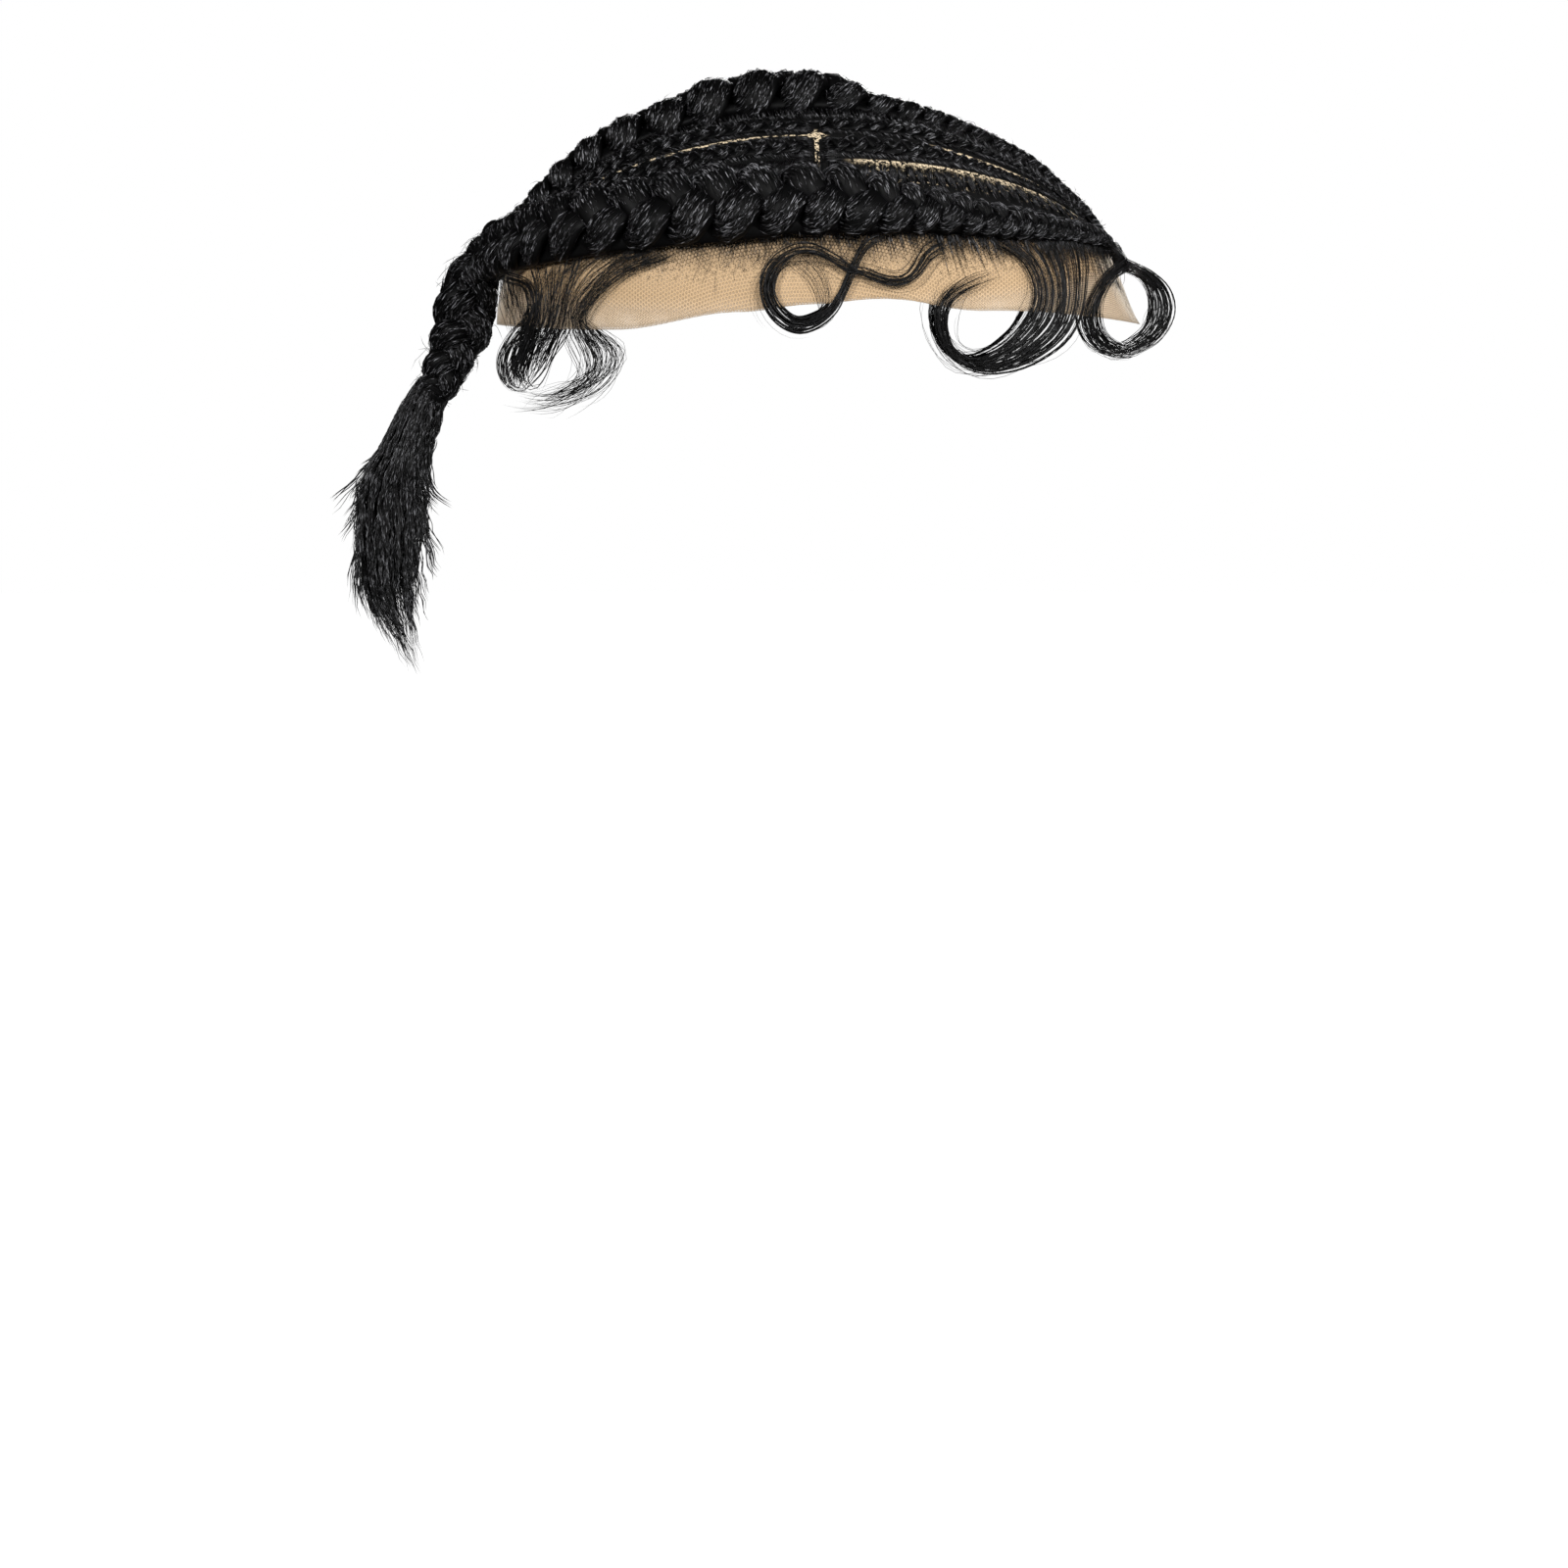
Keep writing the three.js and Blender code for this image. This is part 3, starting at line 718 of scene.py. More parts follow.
# %% The upper parting
PARTING_LEAN = 41.2
PARTING_EDGE = (1.2, 0.5)
PARTING_FRONT = (52.0, 44.0)
PARTING_BACK = (82.0, 92.0)
FORE = (52.0, 34.0)
FORE_DROP = 4.2
FORE_WIDENING = -0.45
THIN_PARTING = ((80.0, 88.0), (112.0, 103.0))
PATCHES = [("Vector", place), ("Scale", 0.7), ("Detail", 2.0)]
patch = add_node(lace_tree, "ShaderNodeTexNoise", PATCHES).outputs["Fac"]
fore = fade(turn, FORE)
sinking = on_lace("MULTIPLY", fade(turn, (SINK_FROM, SINK_TO)), SINK_MOST)
parting_lean = on_lace("SUBTRACT", on_lace("SUBTRACT", lean, sinking), on_lace("MULTIPLY", fore, FORE_DROP))
off_line = on_lace("ABSOLUTE", on_lace("SUBTRACT", parting_lean, PARTING_LEAN))
off_line = on_lace("MULTIPLY", off_line, on_lace("MULTIPLY_ADD", fore, FORE_WIDENING, 1.0))
thinner = overlap(*(fade(turn, span) for span in THIN_PARTING))
off_line = on_lace("MULTIPLY", off_line, on_lace("ADD", thinner, 1.0))
shown = union(fade(turn, PARTING_FRONT), fade(turn, PARTING_BACK))
upper_parting = overlap(shown, fade(off_line, PARTING_EDGE))
print("upper parting at lean", PARTING_LEAN)

# %% The line that crosses it
CROSS_TURN = 87.5
CROSS_HALF = 3.8
CROSS_NARROWING = -0.85
CROSS_LEAST = 0.7
CROSS_TOP = (35.0, 38.0)
CROSS_FOOT = (62.0, 58.0)
off_cross = on_lace("ABSOLUTE", on_lace("SUBTRACT", turn, CROSS_TURN))
from_parting = on_lace("ABSOLUTE", on_lace("SUBTRACT", lean, PARTING_LEAN))
cross_half = on_lace("MULTIPLY_ADD", from_parting, CROSS_NARROWING, CROSS_HALF)
crossing = on_lace("LESS_THAN", off_cross, on_lace("MAXIMUM", cross_half, CROSS_LEAST))
crossing = overlap(crossing, fade(lean, CROSS_TOP), fade(lean, CROSS_FOOT))
print("crossed at turn", CROSS_TURN)

# %% The lower parting, and all that is bare
LADDER_TOP = (56.0, 56.8)
LADDER_FOOT = (68.0, 65.0)
LADDER_BACK = (80.0, 72.0)
LADDER_THINS = (57.0, 66.0)
LADDER_BARE = (-0.18, 0.55)
PARTING_BARE = 0.53
bare_share = on_lace("MULTIPLY_ADD", fade(lean, LADDER_THINS), *LADDER_BARE)
ladder = overlap(fade(lean, LADDER_TOP), fade(lean, LADDER_FOOT), fade(turn, LADDER_BACK))
ladder = overlap(ladder, on_lace("LESS_THAN", patch, bare_share))
parted = overlap(union(upper_parting, crossing), on_lace("LESS_THAN", patch, PARTING_BARE))
bare = union(parted, ladder)
print("lower parting from lean", LADDER_TOP[1], "to turn", LADDER_BACK[0])

# %% [markdown]
# Alpha is where thread, hair or close cloth covers the holes. The base colour goes from tan net to black
# where hair is tied in, with dark threads in the net just below the side braids, and to a paler tan at
# the rim and at the two ends of the lace.

# %% Cover of the lace
HAIRLINE = (84.5, 81.0)
KNOTTED = (102.0, 86.0)
KNOT_SHARE = (0.45, 0.2)
KNOTS_END = (103.0, 99.0)
CLOTH = (74.0, 70.0)
SHEER = (107.0, 97.0)
SHEER_COVER = (0.25, 0.3)
FRONT_END = (22.0, 10.0)
FRONT_END_LOW = (93.0, 99.0)
BACK_END = (160.0, 172.0)
END_COVER = -0.2
tied = overlap(fade(lean, HAIRLINE), on_lace("SUBTRACT", 1.0, bare))
knot_share = on_lace("MULTIPLY_ADD", fade(lean, KNOTTED), *KNOT_SHARE)
knots = overlap(coarse["Knot"], on_lace("LESS_THAN", patch, knot_share), fade(lean, KNOTS_END))
black = union(tied, knots)
closed = fade(lean, CLOTH)
ends = union(overlap(fade(turn, FRONT_END), fade(lean, FRONT_END_LOW)), fade(turn, BACK_END))
sheer = on_lace("MULTIPLY_ADD", fade(lean, SHEER), *SHEER_COVER)
sheer = on_lace("MULTIPLY_ADD", ends, END_COVER, sheer)
cover = union(net_threads, sheer, union(black, closed))
print("tied hair fades over leans", HAIRLINE)

# %% Colour of the lace
KNOT_BLACK = (0.003, 0.003, 0.003, 1)
NET_TAN = (0.31, 0.215, 0.125, 1)
CLOTH_TAN = (0.54, 0.44, 0.3, 1)
PALE_TAN = (0.6, 0.52, 0.42, 1)
BELOW_BRAID = ((93.0, 86.0), (70.0, 80.0))
BELOW_BRAID_DARKENING = (0.65, 0.08)
RIM_PALE = (98.0, 108.0)
RIM_PALENESS = 0.3
# Below the side braids the threads of the net turn darker, in a band that fades out further down.
below_braid_band = overlap(*(fade(lean, span) for span in BELOW_BRAID))
dark_threads = overlap(below_braid_band, on_lace("MULTIPLY_ADD", coarse["Net"], *BELOW_BRAID_DARKENING))
pale = union(ends, on_lace("MULTIPLY", fade(lean, RIM_PALE), RIM_PALENESS))
cloth_tint = mixed(lace_tree, "RGBA", closed, NET_TAN, CLOTH_TAN)
pale_tint = mixed(lace_tree, "RGBA", pale, cloth_tint, PALE_TAN)
lace_tint = mixed(lace_tree, "RGBA", union(black, dark_threads), pale_tint, KNOT_BLACK)
lace_shader = lace_tree.nodes["Principled BSDF"]
lace_tree.links.new(lace_tint, lace_shader.inputs["Base Color"])
lace_tree.links.new(cover, lace_shader.inputs["Alpha"])
lace_shader.inputs["Roughness"].default_value = 0.8
lace_shader.inputs["Specular IOR Level"].default_value = 0.05
print("nodes in the lace material:", len(lace_tree.nodes))

# %% Finish the lace
lace_net = finish_piece(lace_shape, "lace_net", [lace], ["lace_base"])
thickness = lace_net.modifiers.new("thread_thickness", "SOLIDIFY")
thickness.thickness = LACE_THICKNESS * MM
thickness.offset = 0

# %% [markdown]
# ## Locks and braids
# A braid is three locks that pass over each other in turn. Seen from above each lock swings from side to
# side, and in height it rises and falls twice as fast: sideways it follows a sine, and upwards the sine
# of the doubled angle. A lock is a grid rolled into a tube, with its seam and its two ends merged.

# %% Roll a grid into a lock
# Slot 1 holds the shaded copy of the hair material: painted shade on the lock bodies, which only show in the
# grooves.
SHADED_COPY_SLOT = 1
GROOVE_DRIFT = 0.6
COARSE_GROOVES = 0.045
FINE_GROOVES = 0.035


def swept_lock(shape, centre, side, up, wide, tall, sides, seed):
    """Rolls a grid round a line of centres. The ends close where wide and tall fall to nothing."""
    uv = shape.loops.layers.uv.verify()
    rings = len(centre)
    grid = bmesh.ops.create_grid(shape, x_segments=rings - 1, y_segments=sides, size=0.5)
    length = np.cumsum(np.linalg.norm(np.diff(centre, axis=0, prepend=centre[:1]), axis=1)) / 10
    around = -2 * np.pi * np.arange(sides + 1) / sides
    drift = GROOVE_DRIFT * length[:, None]
    relief = 1 + COARSE_GROOVES * np.sin(5 * around + drift + seed)
    relief = relief + FINE_GROOVES * np.sin(9 * around - 2 * drift + 3 * seed)
    relief[:, -1] = relief[:, 0]
    across = side[:, None] * (wide[:, None] * np.cos(around) * relief)[..., None]
    ring = centre[:, None] + across + up[:, None] * (tall[:, None] * np.sin(around) * relief)[..., None]
    girth = np.mean(wide + tall) * np.pi / 10
    for vert in grid["verts"]:
        i = round((vert.co.x + 0.5) * (rings - 1))
        j = round((vert.co.y + 0.5) * sides)
        vert.co = ring[i, j] * MM
        for corner in vert.link_loops:
            corner[uv].uv = (length[i] + seed, girth * j / sides + seed)
            corner.face.material_index = SHADED_COPY_SLOT
    bmesh.ops.remove_doubles(shape, verts=grid["verts"], dist=1e-6)


print("grooves, as a share of a lock's radius:", COARSE_GROOVES, FINE_GROOVES)

# %% [markdown]
# A braid's path comes as points with the direction out of the dome, and its width and height there. A
# straight lock under the three others stands for the hair that is picked up from the lace, and closes the
# gaps below them.

# %% The three strands of a braid
LOCKS = 3
LOCK_SEED = 1.3
HASTE = 0.5
END_LUMPS = 1.2
UNEVEN = 0.1
SLOW_UNEVEN = 0.06
WOBBLE = 0.12
BED_RISE = 0.14
BED_SIZE = (0.42, 0.3)
BED_SEED = 7


def even_turns(path, lumps_per_width, rings_per_lump):
    """The path at even steps of its lumps, which are longer where it is wider."""
    point, out, width, height = path
    steps = np.linalg.norm(np.diff(point, axis=0), axis=1) * lumps_per_width
    lumps = np.concatenate([[0], np.cumsum(steps / ((width[1:] + width[:-1]) / 2))])
    turns = np.linspace(0, lumps[-1], int(lumps[-1] * rings_per_lump) + 1)
    point = np.stack([np.interp(turns, lumps, point[:, i]) for i in range(3)], -1)
    out = unit(np.stack([np.interp(turns, lumps, out[:, i]) for i in range(3)], -1))
    return turns, point, out, np.interp(turns, lumps, width), np.interp(turns, lumps, height)


def braid_strands(path, lumps_per_width, rings_per_lump, spread, lock, rise, bend):
    """Centres, directions and radii of the three locks. spread is how far they swing and lock how thick they
    are, as shares of the width and height. bend is how far, in degrees, the section turns down at
    its edges."""
    turns, point, out, width, height = even_turns(path, lumps_per_width, rings_per_lump)
    across = unit(np.cross(unit(np.gradient(point, axis=0)), out))
    ends = np.clip(turns / END_LUMPS, 0, 1) * np.clip((turns[-1] - turns) / END_LUMPS, 0, 1)
    ends = np.sqrt(ends * (2 - ends))
    radius = spread[0] * width / np.radians(bend)
    braid = {"centre": [], "side": [], "up": [], "wide": [], "tall": []}
    for k in range(LOCKS):
        swing = 2 * np.pi * (turns + k) / LOCKS
        swing = swing - HASTE / 2 * np.cos(2 * swing)
        uneven = 1 + UNEVEN * np.sin(2.3 * turns + 1.9 * k) + SLOW_UNEVEN * np.sin(0.71 * turns + k)
        tip = np.radians(bend) * np.sin(swing + WOBBLE * np.sin(1.37 * turns))
        normal = out * np.cos(tip)[:, None] + across * np.sin(tip)[:, None]
        foot = point + across * (radius * np.sin(tip))[:, None]
        foot = foot + out * (rise * height - radius * (1 - np.cos(tip)))[:, None]
        centre = foot + normal * (spread[1] * height * np.sin(2 * swing) * uneven)[:, None]
        tangent = unit(np.gradient(centre, axis=0))
        side = unit(np.cross(normal, tangent))
        braid["centre"].append(centre)
        braid["side"].append(side)
        braid["up"].append(np.cross(tangent, side))
        braid["wide"].append(lock[0] * width * uneven * ends)
        braid["tall"].append(lock[1] * height * (0.5 + 0.5 * uneven) * ends)
    braid = {key: np.asarray(value) for key, value in braid.items()}
    braid["turns"] = turns
    if rise > 0:
        along = unit(np.gradient(point, axis=0))
        braid["bed"] = (point + out * (BED_RISE * height)[:, None], -across, np.cross(along, -across))
        braid["bed_size"] = (BED_SIZE[0] * width * ends, BED_SIZE[1] * height * ends)
    return braid


def add_locks(shape, braid, sides, seed):
    for k in range(LOCKS):
        lines = [braid[key][k] for key in ("centre", "side", "up", "wide", "tall")]
        swept_lock(shape, *lines, sides, LOCK_SEED * k + seed)
    if "bed" in braid:
        swept_lock(shape, *braid["bed"], *braid["bed_size"], sides, seed + BED_SEED)


print("locks of a braid:", LOCKS, "and a bed under them")

# %% [markdown]
# The locks alone would look like rope. What makes them hair is a coat of single fibres that lie along
# each lump, crimped as braided hair is, and many short ones that stick out. A lock is on top for a
# quarter of its swing at a time, so the fibres are only laid in those stretches.

# %% Fibres on the locks
LUMP_TURNS = 1.5
LIT_FLANK = (-74, 62)
# Fibres on the shaded flank take the shaded copy of the hair material: painted shade beside the grooves.
SHADED_FLANK = (-120, -60)
LEAST_KEPT = 0.12
FIBRE_STARTS = (0.12, 0.42)
FIBRE_ENDS = (0.52, 0.82)
FIBRE_SLANT = 0.45
FIBRE_WAVES = (1.6, 3.4)
THINNEST = 0.45


def drawn(count, low, high):
    """A column of random numbers, one for each hair."""
    return rng.uniform(low, high, count)[:, None]


def on_lock(braid, lock, turns, around, lift):
    """Points on the surface of locks, at a number of turns and an angle round the lock."""
    last = len(braid["turns"]) - 1
    spot = np.clip(turns / braid["turns"][-1], 0, 1) * last
    low = np.minimum(spot.astype(int), last - 1)
    part = spot - low

    def between(key):
        values = braid[key]
        share = part[..., None] if values.ndim == 3 else part
        return values[lock, low] * (1 - share) + values[lock, low + 1] * share

    wide = ((between("wide") + lift) * np.cos(around))[..., None]
    tall = ((between("tall") + lift) * np.sin(around))[..., None]
    return between("centre") + between("side") * wide + between("up") * tall


def lock_fibres(braid, per_lump, points, crimp, lift, flank=LIT_FLANK, under=False):
    """Lines for fibres on the lumps of a braid, and the relative size of the lumps. flank is how far, in
    degrees, they lie from a lump's top, outwards. under takes the lumps on the braid's other face."""
    last = braid["turns"][-1]
    face = LUMP_TURNS / 2 if under else 0.0
    swings_each = range(int(last / LUMP_TURNS) + 4)
    lumps = [(k, n, LUMP_TURNS * n - k + face) for k in range(LOCKS) for n in swings_each]
    lumps = [lump for lump in lumps if 0.1 < lump[2] < last - 0.5]
    lock, swings, base = (np.repeat(column, per_lump)[:, None] for column in zip(*lumps))
    girth = (braid["wide"] + braid["tall"]).mean(axis=0) / 2
    scale = np.interp(base, braid["turns"], girth / girth.max())
    kept = rng.random(len(base)) < LEAST_KEPT + (1 - LEAST_KEPT) * scale[:, 0]
    lock, swings, base, scale = lock[kept], swings[kept], base[kept], scale[kept]
    count = len(base)
    share = np.linspace(0, 1, points)
    begin = base + drawn(count, *FIBRE_STARTS)
    turns = begin + (base + drawn(count, *FIBRE_ENDS) - begin) * share
    outwards = 1 - 2 * (swings % 2)
    around = np.radians(90 + 180 * under + outwards * drawn(count, *flank))
    around = around + drawn(count, -FIBRE_SLANT, FIBRE_SLANT) * (share - 0.5)
    waves = drawn(count, *FIBRE_WAVES) * 2 * np.pi * share + drawn(count, 0, 6.28)
    height = scale * (drawn(count, 0, lift) + crimp * 0.5 * (1 + np.sin(waves * 1.3)))
    sway = 0.8 * crimp * np.sin(waves) / girth.max()
    return on_lock(braid, lock, turns, around + sway, height), scale[:, 0]


def add_fibres(shape, braid, laying, radius, material=0):
    """laying is what lock_fibres takes. Fibres are thinner where the braid is."""
    paths, scale = lock_fibres(braid, *laying)
    add_hairs(shape, paths, radius, material, THINNEST + (1 - THINNEST) * scale)


def flyaways(braid, count, points, rise, arc=180):
    """Lines for short hairs that leave the locks and stand out by up to rise."""
    last = braid["turns"][-1]
    lock = rng.integers(0, LOCKS, count)[:, None]
    share = np.linspace(0, 1, points)
    turns = drawn(count, 0.6, last - 1.0) + drawn(count, -0.5, 0.9) * share
    around = np.radians(drawn(count, 0, arc)) + drawn(count, -0.8, 0.8) * share
    bend = 0.3 * np.sin(drawn(count, 2, 5) * share * 3.14 + lock)
    lift = -0.2 + drawn(count, 0.2, 1) * rise * share**1.5
    return on_lock(braid, lock, turns, around + 0.1 * bend, lift + bend * 0.3)


print("fibres lie from", LIT_FLANK[0], "to", LIT_FLANK[1], "degrees round a lump")

# %% [markdown]
# ## The thick braids
# The three feed-in cornrows start thin at the front hairline and swell as hair is fed in. Each follows
# its lane over the dome, and past the end of the lane bends down into the top of the tail, where they are
# plaited together.

# %% Sizes and lanes of the thick braids
CROWN_SIZES = [
    # share of the lane, width, height
    (0, 7, 2.6),
    (0.2, 15, 5.4),
    (0.36, 19.5, 7.8),
    (0.46, 27, 12.7),
    (0.62, 30, 13.6),
    (0.7, 30, 14),
    (0.8, 27.5, 11.2),
    (1, 17.5, 7.6),
]
SIDE_SIZES = [
    # share of the lane, width, height
    (0, 4.5, 3),
    (0.12, 7.5, 4.5),
    (0.24, 11.8, 7),
    (0.34, 16.5, 9.8),
    (0.46, 25, 13.5),
    (0.65, 27.5, 14),
    (0.85, 25.5, 13),
    (1, 19, 11),
]
CROWN_LEANS = [(0, 0), (1, 0)]
SIDE_LEANS = [(0, 82), (0.2, 81.3), (0.34, 79), (0.48, 76.8), (0.65, 77.4), (0.85, 79.8), (1, 82)]
GATHER = np.array([-110.5, 0.0, 4.0])
GATHER_FALL = np.array([-0.12, 0.0, -1.0])
GATHER_FACING = np.array([-0.9, 0.35, 0.1])
GATHER_SIZE = (11, 8)
LANE_PULL = 13
GATHER_PULL = 16


def bend_into_tail(start, heading, t):
    """A curve from the end of a lane that turns down into the tail."""
    first = start + heading * LANE_PULL
    second = GATHER - GATHER_FALL * GATHER_PULL
    return (1 - t) ** 3 * start + 3 * t * (1 - t) ** 2 * first + 3 * t**2 * (1 - t) * second + t**3 * GATHER


def thick_lane(leans, side, start, end, sizes):
    """Path of a thick braid between two turns. leans says how far down the dome it lies on its way."""
    share = np.linspace(0, 1, 300)
    lean = side * table_value(leans, share, 1)
    point, out, along, _ = row_place(lean, start + (end - start) * share)
    t = np.linspace(0, 1, 40)[1:, None]
    facing = GATHER_FACING * (1, np.sign(out[-1, 1]), 1)
    turned = unit(out[-1] * (1 - t) + facing * t)
    width = table_value(sizes, share, 1)
    height = table_value(sizes, share, 2)
    width = np.concatenate([width, width[-1] + (GATHER_SIZE[0] - width[-1]) * t[:, 0]])
    height = np.concatenate([height, height[-1] + (GATHER_SIZE[1] - height[-1]) * t[:, 0]])
    point = np.concatenate([point, bend_into_tail(point[-1], along[-1], t)])
    return point, np.concatenate([out, turned]), width, height


print("widest place of a thick braid in mm:", max(row[1] for row in CROWN_SIZES + SIDE_SIZES))

# %% Braid the thick rows
SIDES = [("right", 1), ("left", -1)]
SPREAD = (0.295, 0.26)
LOCK = (0.22, 0.285)
CROWN_LANE = (1.5, 174.5, CROWN_SIZES)
CROWN_STRANDS = {"spread": (0.38, 0.3), "lock": (0.19, 0.29), "rise": 0.58, "bend": 66}
SIDE_LANE = (3, 171, SIDE_SIZES)
SIDE_STRANDS = {"spread": SPREAD, "lock": LOCK, "rise": 0.48, "bend": 28}
LIT_COAT = (66, 6, 0.45, 0.4)
LIT_RADIUS = (0.1, 0.21)
# The shaded coat takes the shaded copy of the hair material: painted shade on the inner flanks of the lumps.
SHADED_COAT = (8, 6, 0.4, 0.1, SHADED_FLANK)
SHADED_RADIUS = (0.16, 0.3)


def thick_braid(name, node, leans, side, lane, strands):
    braid = braid_strands(thick_lane(leans, side, *lane), lumps_per_width=2.0, rings_per_lump=9, **strands)
    shape = bmesh.new()
    add_locks(shape, braid, 14, 3 + side)
    add_fibres(shape, braid, LIT_COAT, LIT_RADIUS)
    add_fibres(shape, braid, SHADED_COAT, SHADED_RADIUS, SHADED_COPY_SLOT)
    add_hairs(shape, flyaways(braid, 520, 5, 2.4), (0.06, 0.1))
    return finish_piece(shape, name, [hair, shaded_copy_hair], [node])


thick_braid("hair_crown", "crown_braid", CROWN_LEANS, 1, CROWN_LANE, CROWN_STRANDS)
for side_name, side in SIDES:
    name = f"hair_side_{side_name}"
    thick_braid(name, f"side_braid_{side_name}", SIDE_LEANS, side, SIDE_LANE, SIDE_STRANDS)

# %% [markdown]
# ## The thin rows
# Between the thick braids lie two thin cornrows on each side, parted at the crown into a front and a back
# run. They are the same braid at a smaller size and pressed flatter, so fewer rings and hairs are enough.

# %% Braid the thin rows
THIN_FRONT = [(0, 2.6, 1.1), (0.25, 4.8, 1.8), (0.5, 8.5, 3.5), (0.9, 9, 3.7), (1, 7, 2.8)]
THIN_BACK = [(0, 7, 2.6), (0.12, 8.6, 3.3), (0.75, 8.6, 3.3), (1, 6, 2.4)]
THIN_LOWER_FRONT = [(0, 2.2, 0.9), (0.3, 3.6, 1.1), (0.45, 5.5, 2), (0.6, 8.5, 3.5), *THIN_FRONT[3:]]
THIN_OFF = 0.6
THIN_ROWS = [
    # name, lean, first turn, last turn, sizes
    ("upper_front", 34, 9, 86, THIN_FRONT),
    ("lower_front", 50.4, 9.5, 84, THIN_LOWER_FRONT),
    ("upper_back", 33.6, 91, 161, THIN_BACK),
    ("lower_back", 51, 90, 159, THIN_BACK),
]
THIN_STRANDS = {"spread": SPREAD, "lock": LOCK, "rise": 0.5, "bend": 30}


def thin_row(name, node, tilt, side, start, end, sizes):
    share = np.linspace(0, 1, 200)
    turns = start + (end - start) * share
    point, out, _, _ = row_place(side * (tilt + sunk(turns)), turns, THIN_OFF)
    path = (point, out, table_value(sizes, share, 1), table_value(sizes, share, 2))
    braid = braid_strands(path, lumps_per_width=1.5, rings_per_lump=6, **THIN_STRANDS)
    shape = bmesh.new()
    add_locks(shape, braid, 6, tilt)
    add_fibres(shape, braid, (17, 5, 0.3, 0.25), (0.1, 0.18))
    add_hairs(shape, flyaways(braid, 70, 5, 1.2), (0.05, 0.08))
    return finish_piece(shape, name, [hair, shaded_copy_hair], [node])


for label, tilt, start, end, sizes in THIN_ROWS:
    for side_name, side in SIDES:
        row = f"{label}_{side_name}"
        thin_row(f"hair_thin_{row}", f"thin_row_{row}", tilt, side, start, end, sizes)

# %% [markdown]
# ## The tail
# All rows end in one plait that hangs from the back of the piece. It is round rather than flat, so its
# locks are thicker in depth and fibres are laid on both faces. Hair wound round its end ties it off.

# %% A smooth line through a few points
TAIL = [
    # x, z, width, depth
    (-98.6, 32.3, 11, 13),
    (-105.2, 21.5, 12.5, 15),
    (-110.6, 10.5, 19.5, 16.5),
    (-112, 0, 20, 16),
    (-116.2, -9.2, 16, 14),
    (-119.2, -17, 14.5, 12.5),
    (-123.6, -23, 10.5, 10),
    (-127.6, -31, 9, 9),
]
BRUSH = [
    # x, z, width, depth
    (-121.8, -19.5, 11, 10),
    (-124.2, -23.8, 13, 11.5),
    (-127.4, -31, 15.5, 13),
    (-131, -40, 17.5, 15),
    (-135.8, -54, 23, 18),
    (-137, -70, 21.5, 17.5),
    (-136.6, -85.5, 16, 13.5),
    (-132.8, -98.5, 9.5, 8),
    (-126, -116, 4, 3.5),
]
STEPS_PER_MARK = 24


def smooth_line(marks, count):
    """A Catmull-Rom curve through marks, at even distances. Columns past the second go along with it."""
    marks = np.asarray(marks, float)
    ends = np.concatenate([2 * marks[:1] - marks[1:2], marks, 2 * marks[-1:] - marks[-2:-1]])
    t = np.linspace(0, 1, STEPS_PER_MARK, endpoint=False)[:, None]
    runs = []
    for p0, p1, p2, p3 in zip(ends, ends[1:], ends[2:], ends[3:]):
        square = 2 * p0 - 5 * p1 + 4 * p2 - p3
        cube = 3 * p1 - p0 - 3 * p2 + p3
        runs.append(p1 + 0.5 * ((p2 - p0) * t + square * t**2 + cube * t**3))
    line = np.concatenate([*runs, marks[-1:]])
    steps = np.linalg.norm(np.diff(line[:, :2], axis=0), axis=1)
    reach = np.concatenate([[0], np.cumsum(steps)])
    even = np.linspace(0, reach[-1], count)
    return np.stack([np.interp(even, reach, line[:, i]) for i in range(line.shape[1])], -1)


def line_length(marks):
    line = smooth_line(marks, 200)[:, :2]
    return round(float(np.linalg.norm(np.diff(line, axis=0), axis=1).sum()), 1)


def in_middle_plane(line):
    return np.stack([line[:, 0], 0 * line[:, 0], line[:, 1]], -1)


print("tail and brush in mm:", line_length(TAIL), line_length(BRUSH))

# %% Plait the tail
TAIL_STRANDS = {"spread": (0.25, 0.2), "lock": (0.27, 0.31), "rise": 0.0, "bend": 1}
tail_line = smooth_line(TAIL, 160)
tail_points = in_middle_plane(tail_line)
tail_out = np.broadcast_to([0.0, -1.0, 0.0], tail_points.shape)
tail_path = (tail_points, tail_out, tail_line[:, 2], tail_line[:, 3])
tail_braid = braid_strands(tail_path, lumps_per_width=1.65, rings_per_lump=11, **TAIL_STRANDS)
tail_shape = bmesh.new()
add_locks(tail_shape, tail_braid, 14, 5)
for under in (False, True):
    add_fibres(tail_shape, tail_braid, (50, 7, 0.55, 0.5, LIT_FLANK, under), (0.11, 0.21))
    add_fibres(tail_shape, tail_braid, (10, 6, 0.4, 0.1, SHADED_FLANK, under), SHADED_RADIUS, SHADED_COPY_SLOT)
add_hairs(tail_shape, flyaways(tail_braid, 420, 6, 4.5, 360), (0.06, 0.09))
print("lumps of the tail:", round(tail_braid["turns"][-1], 1))

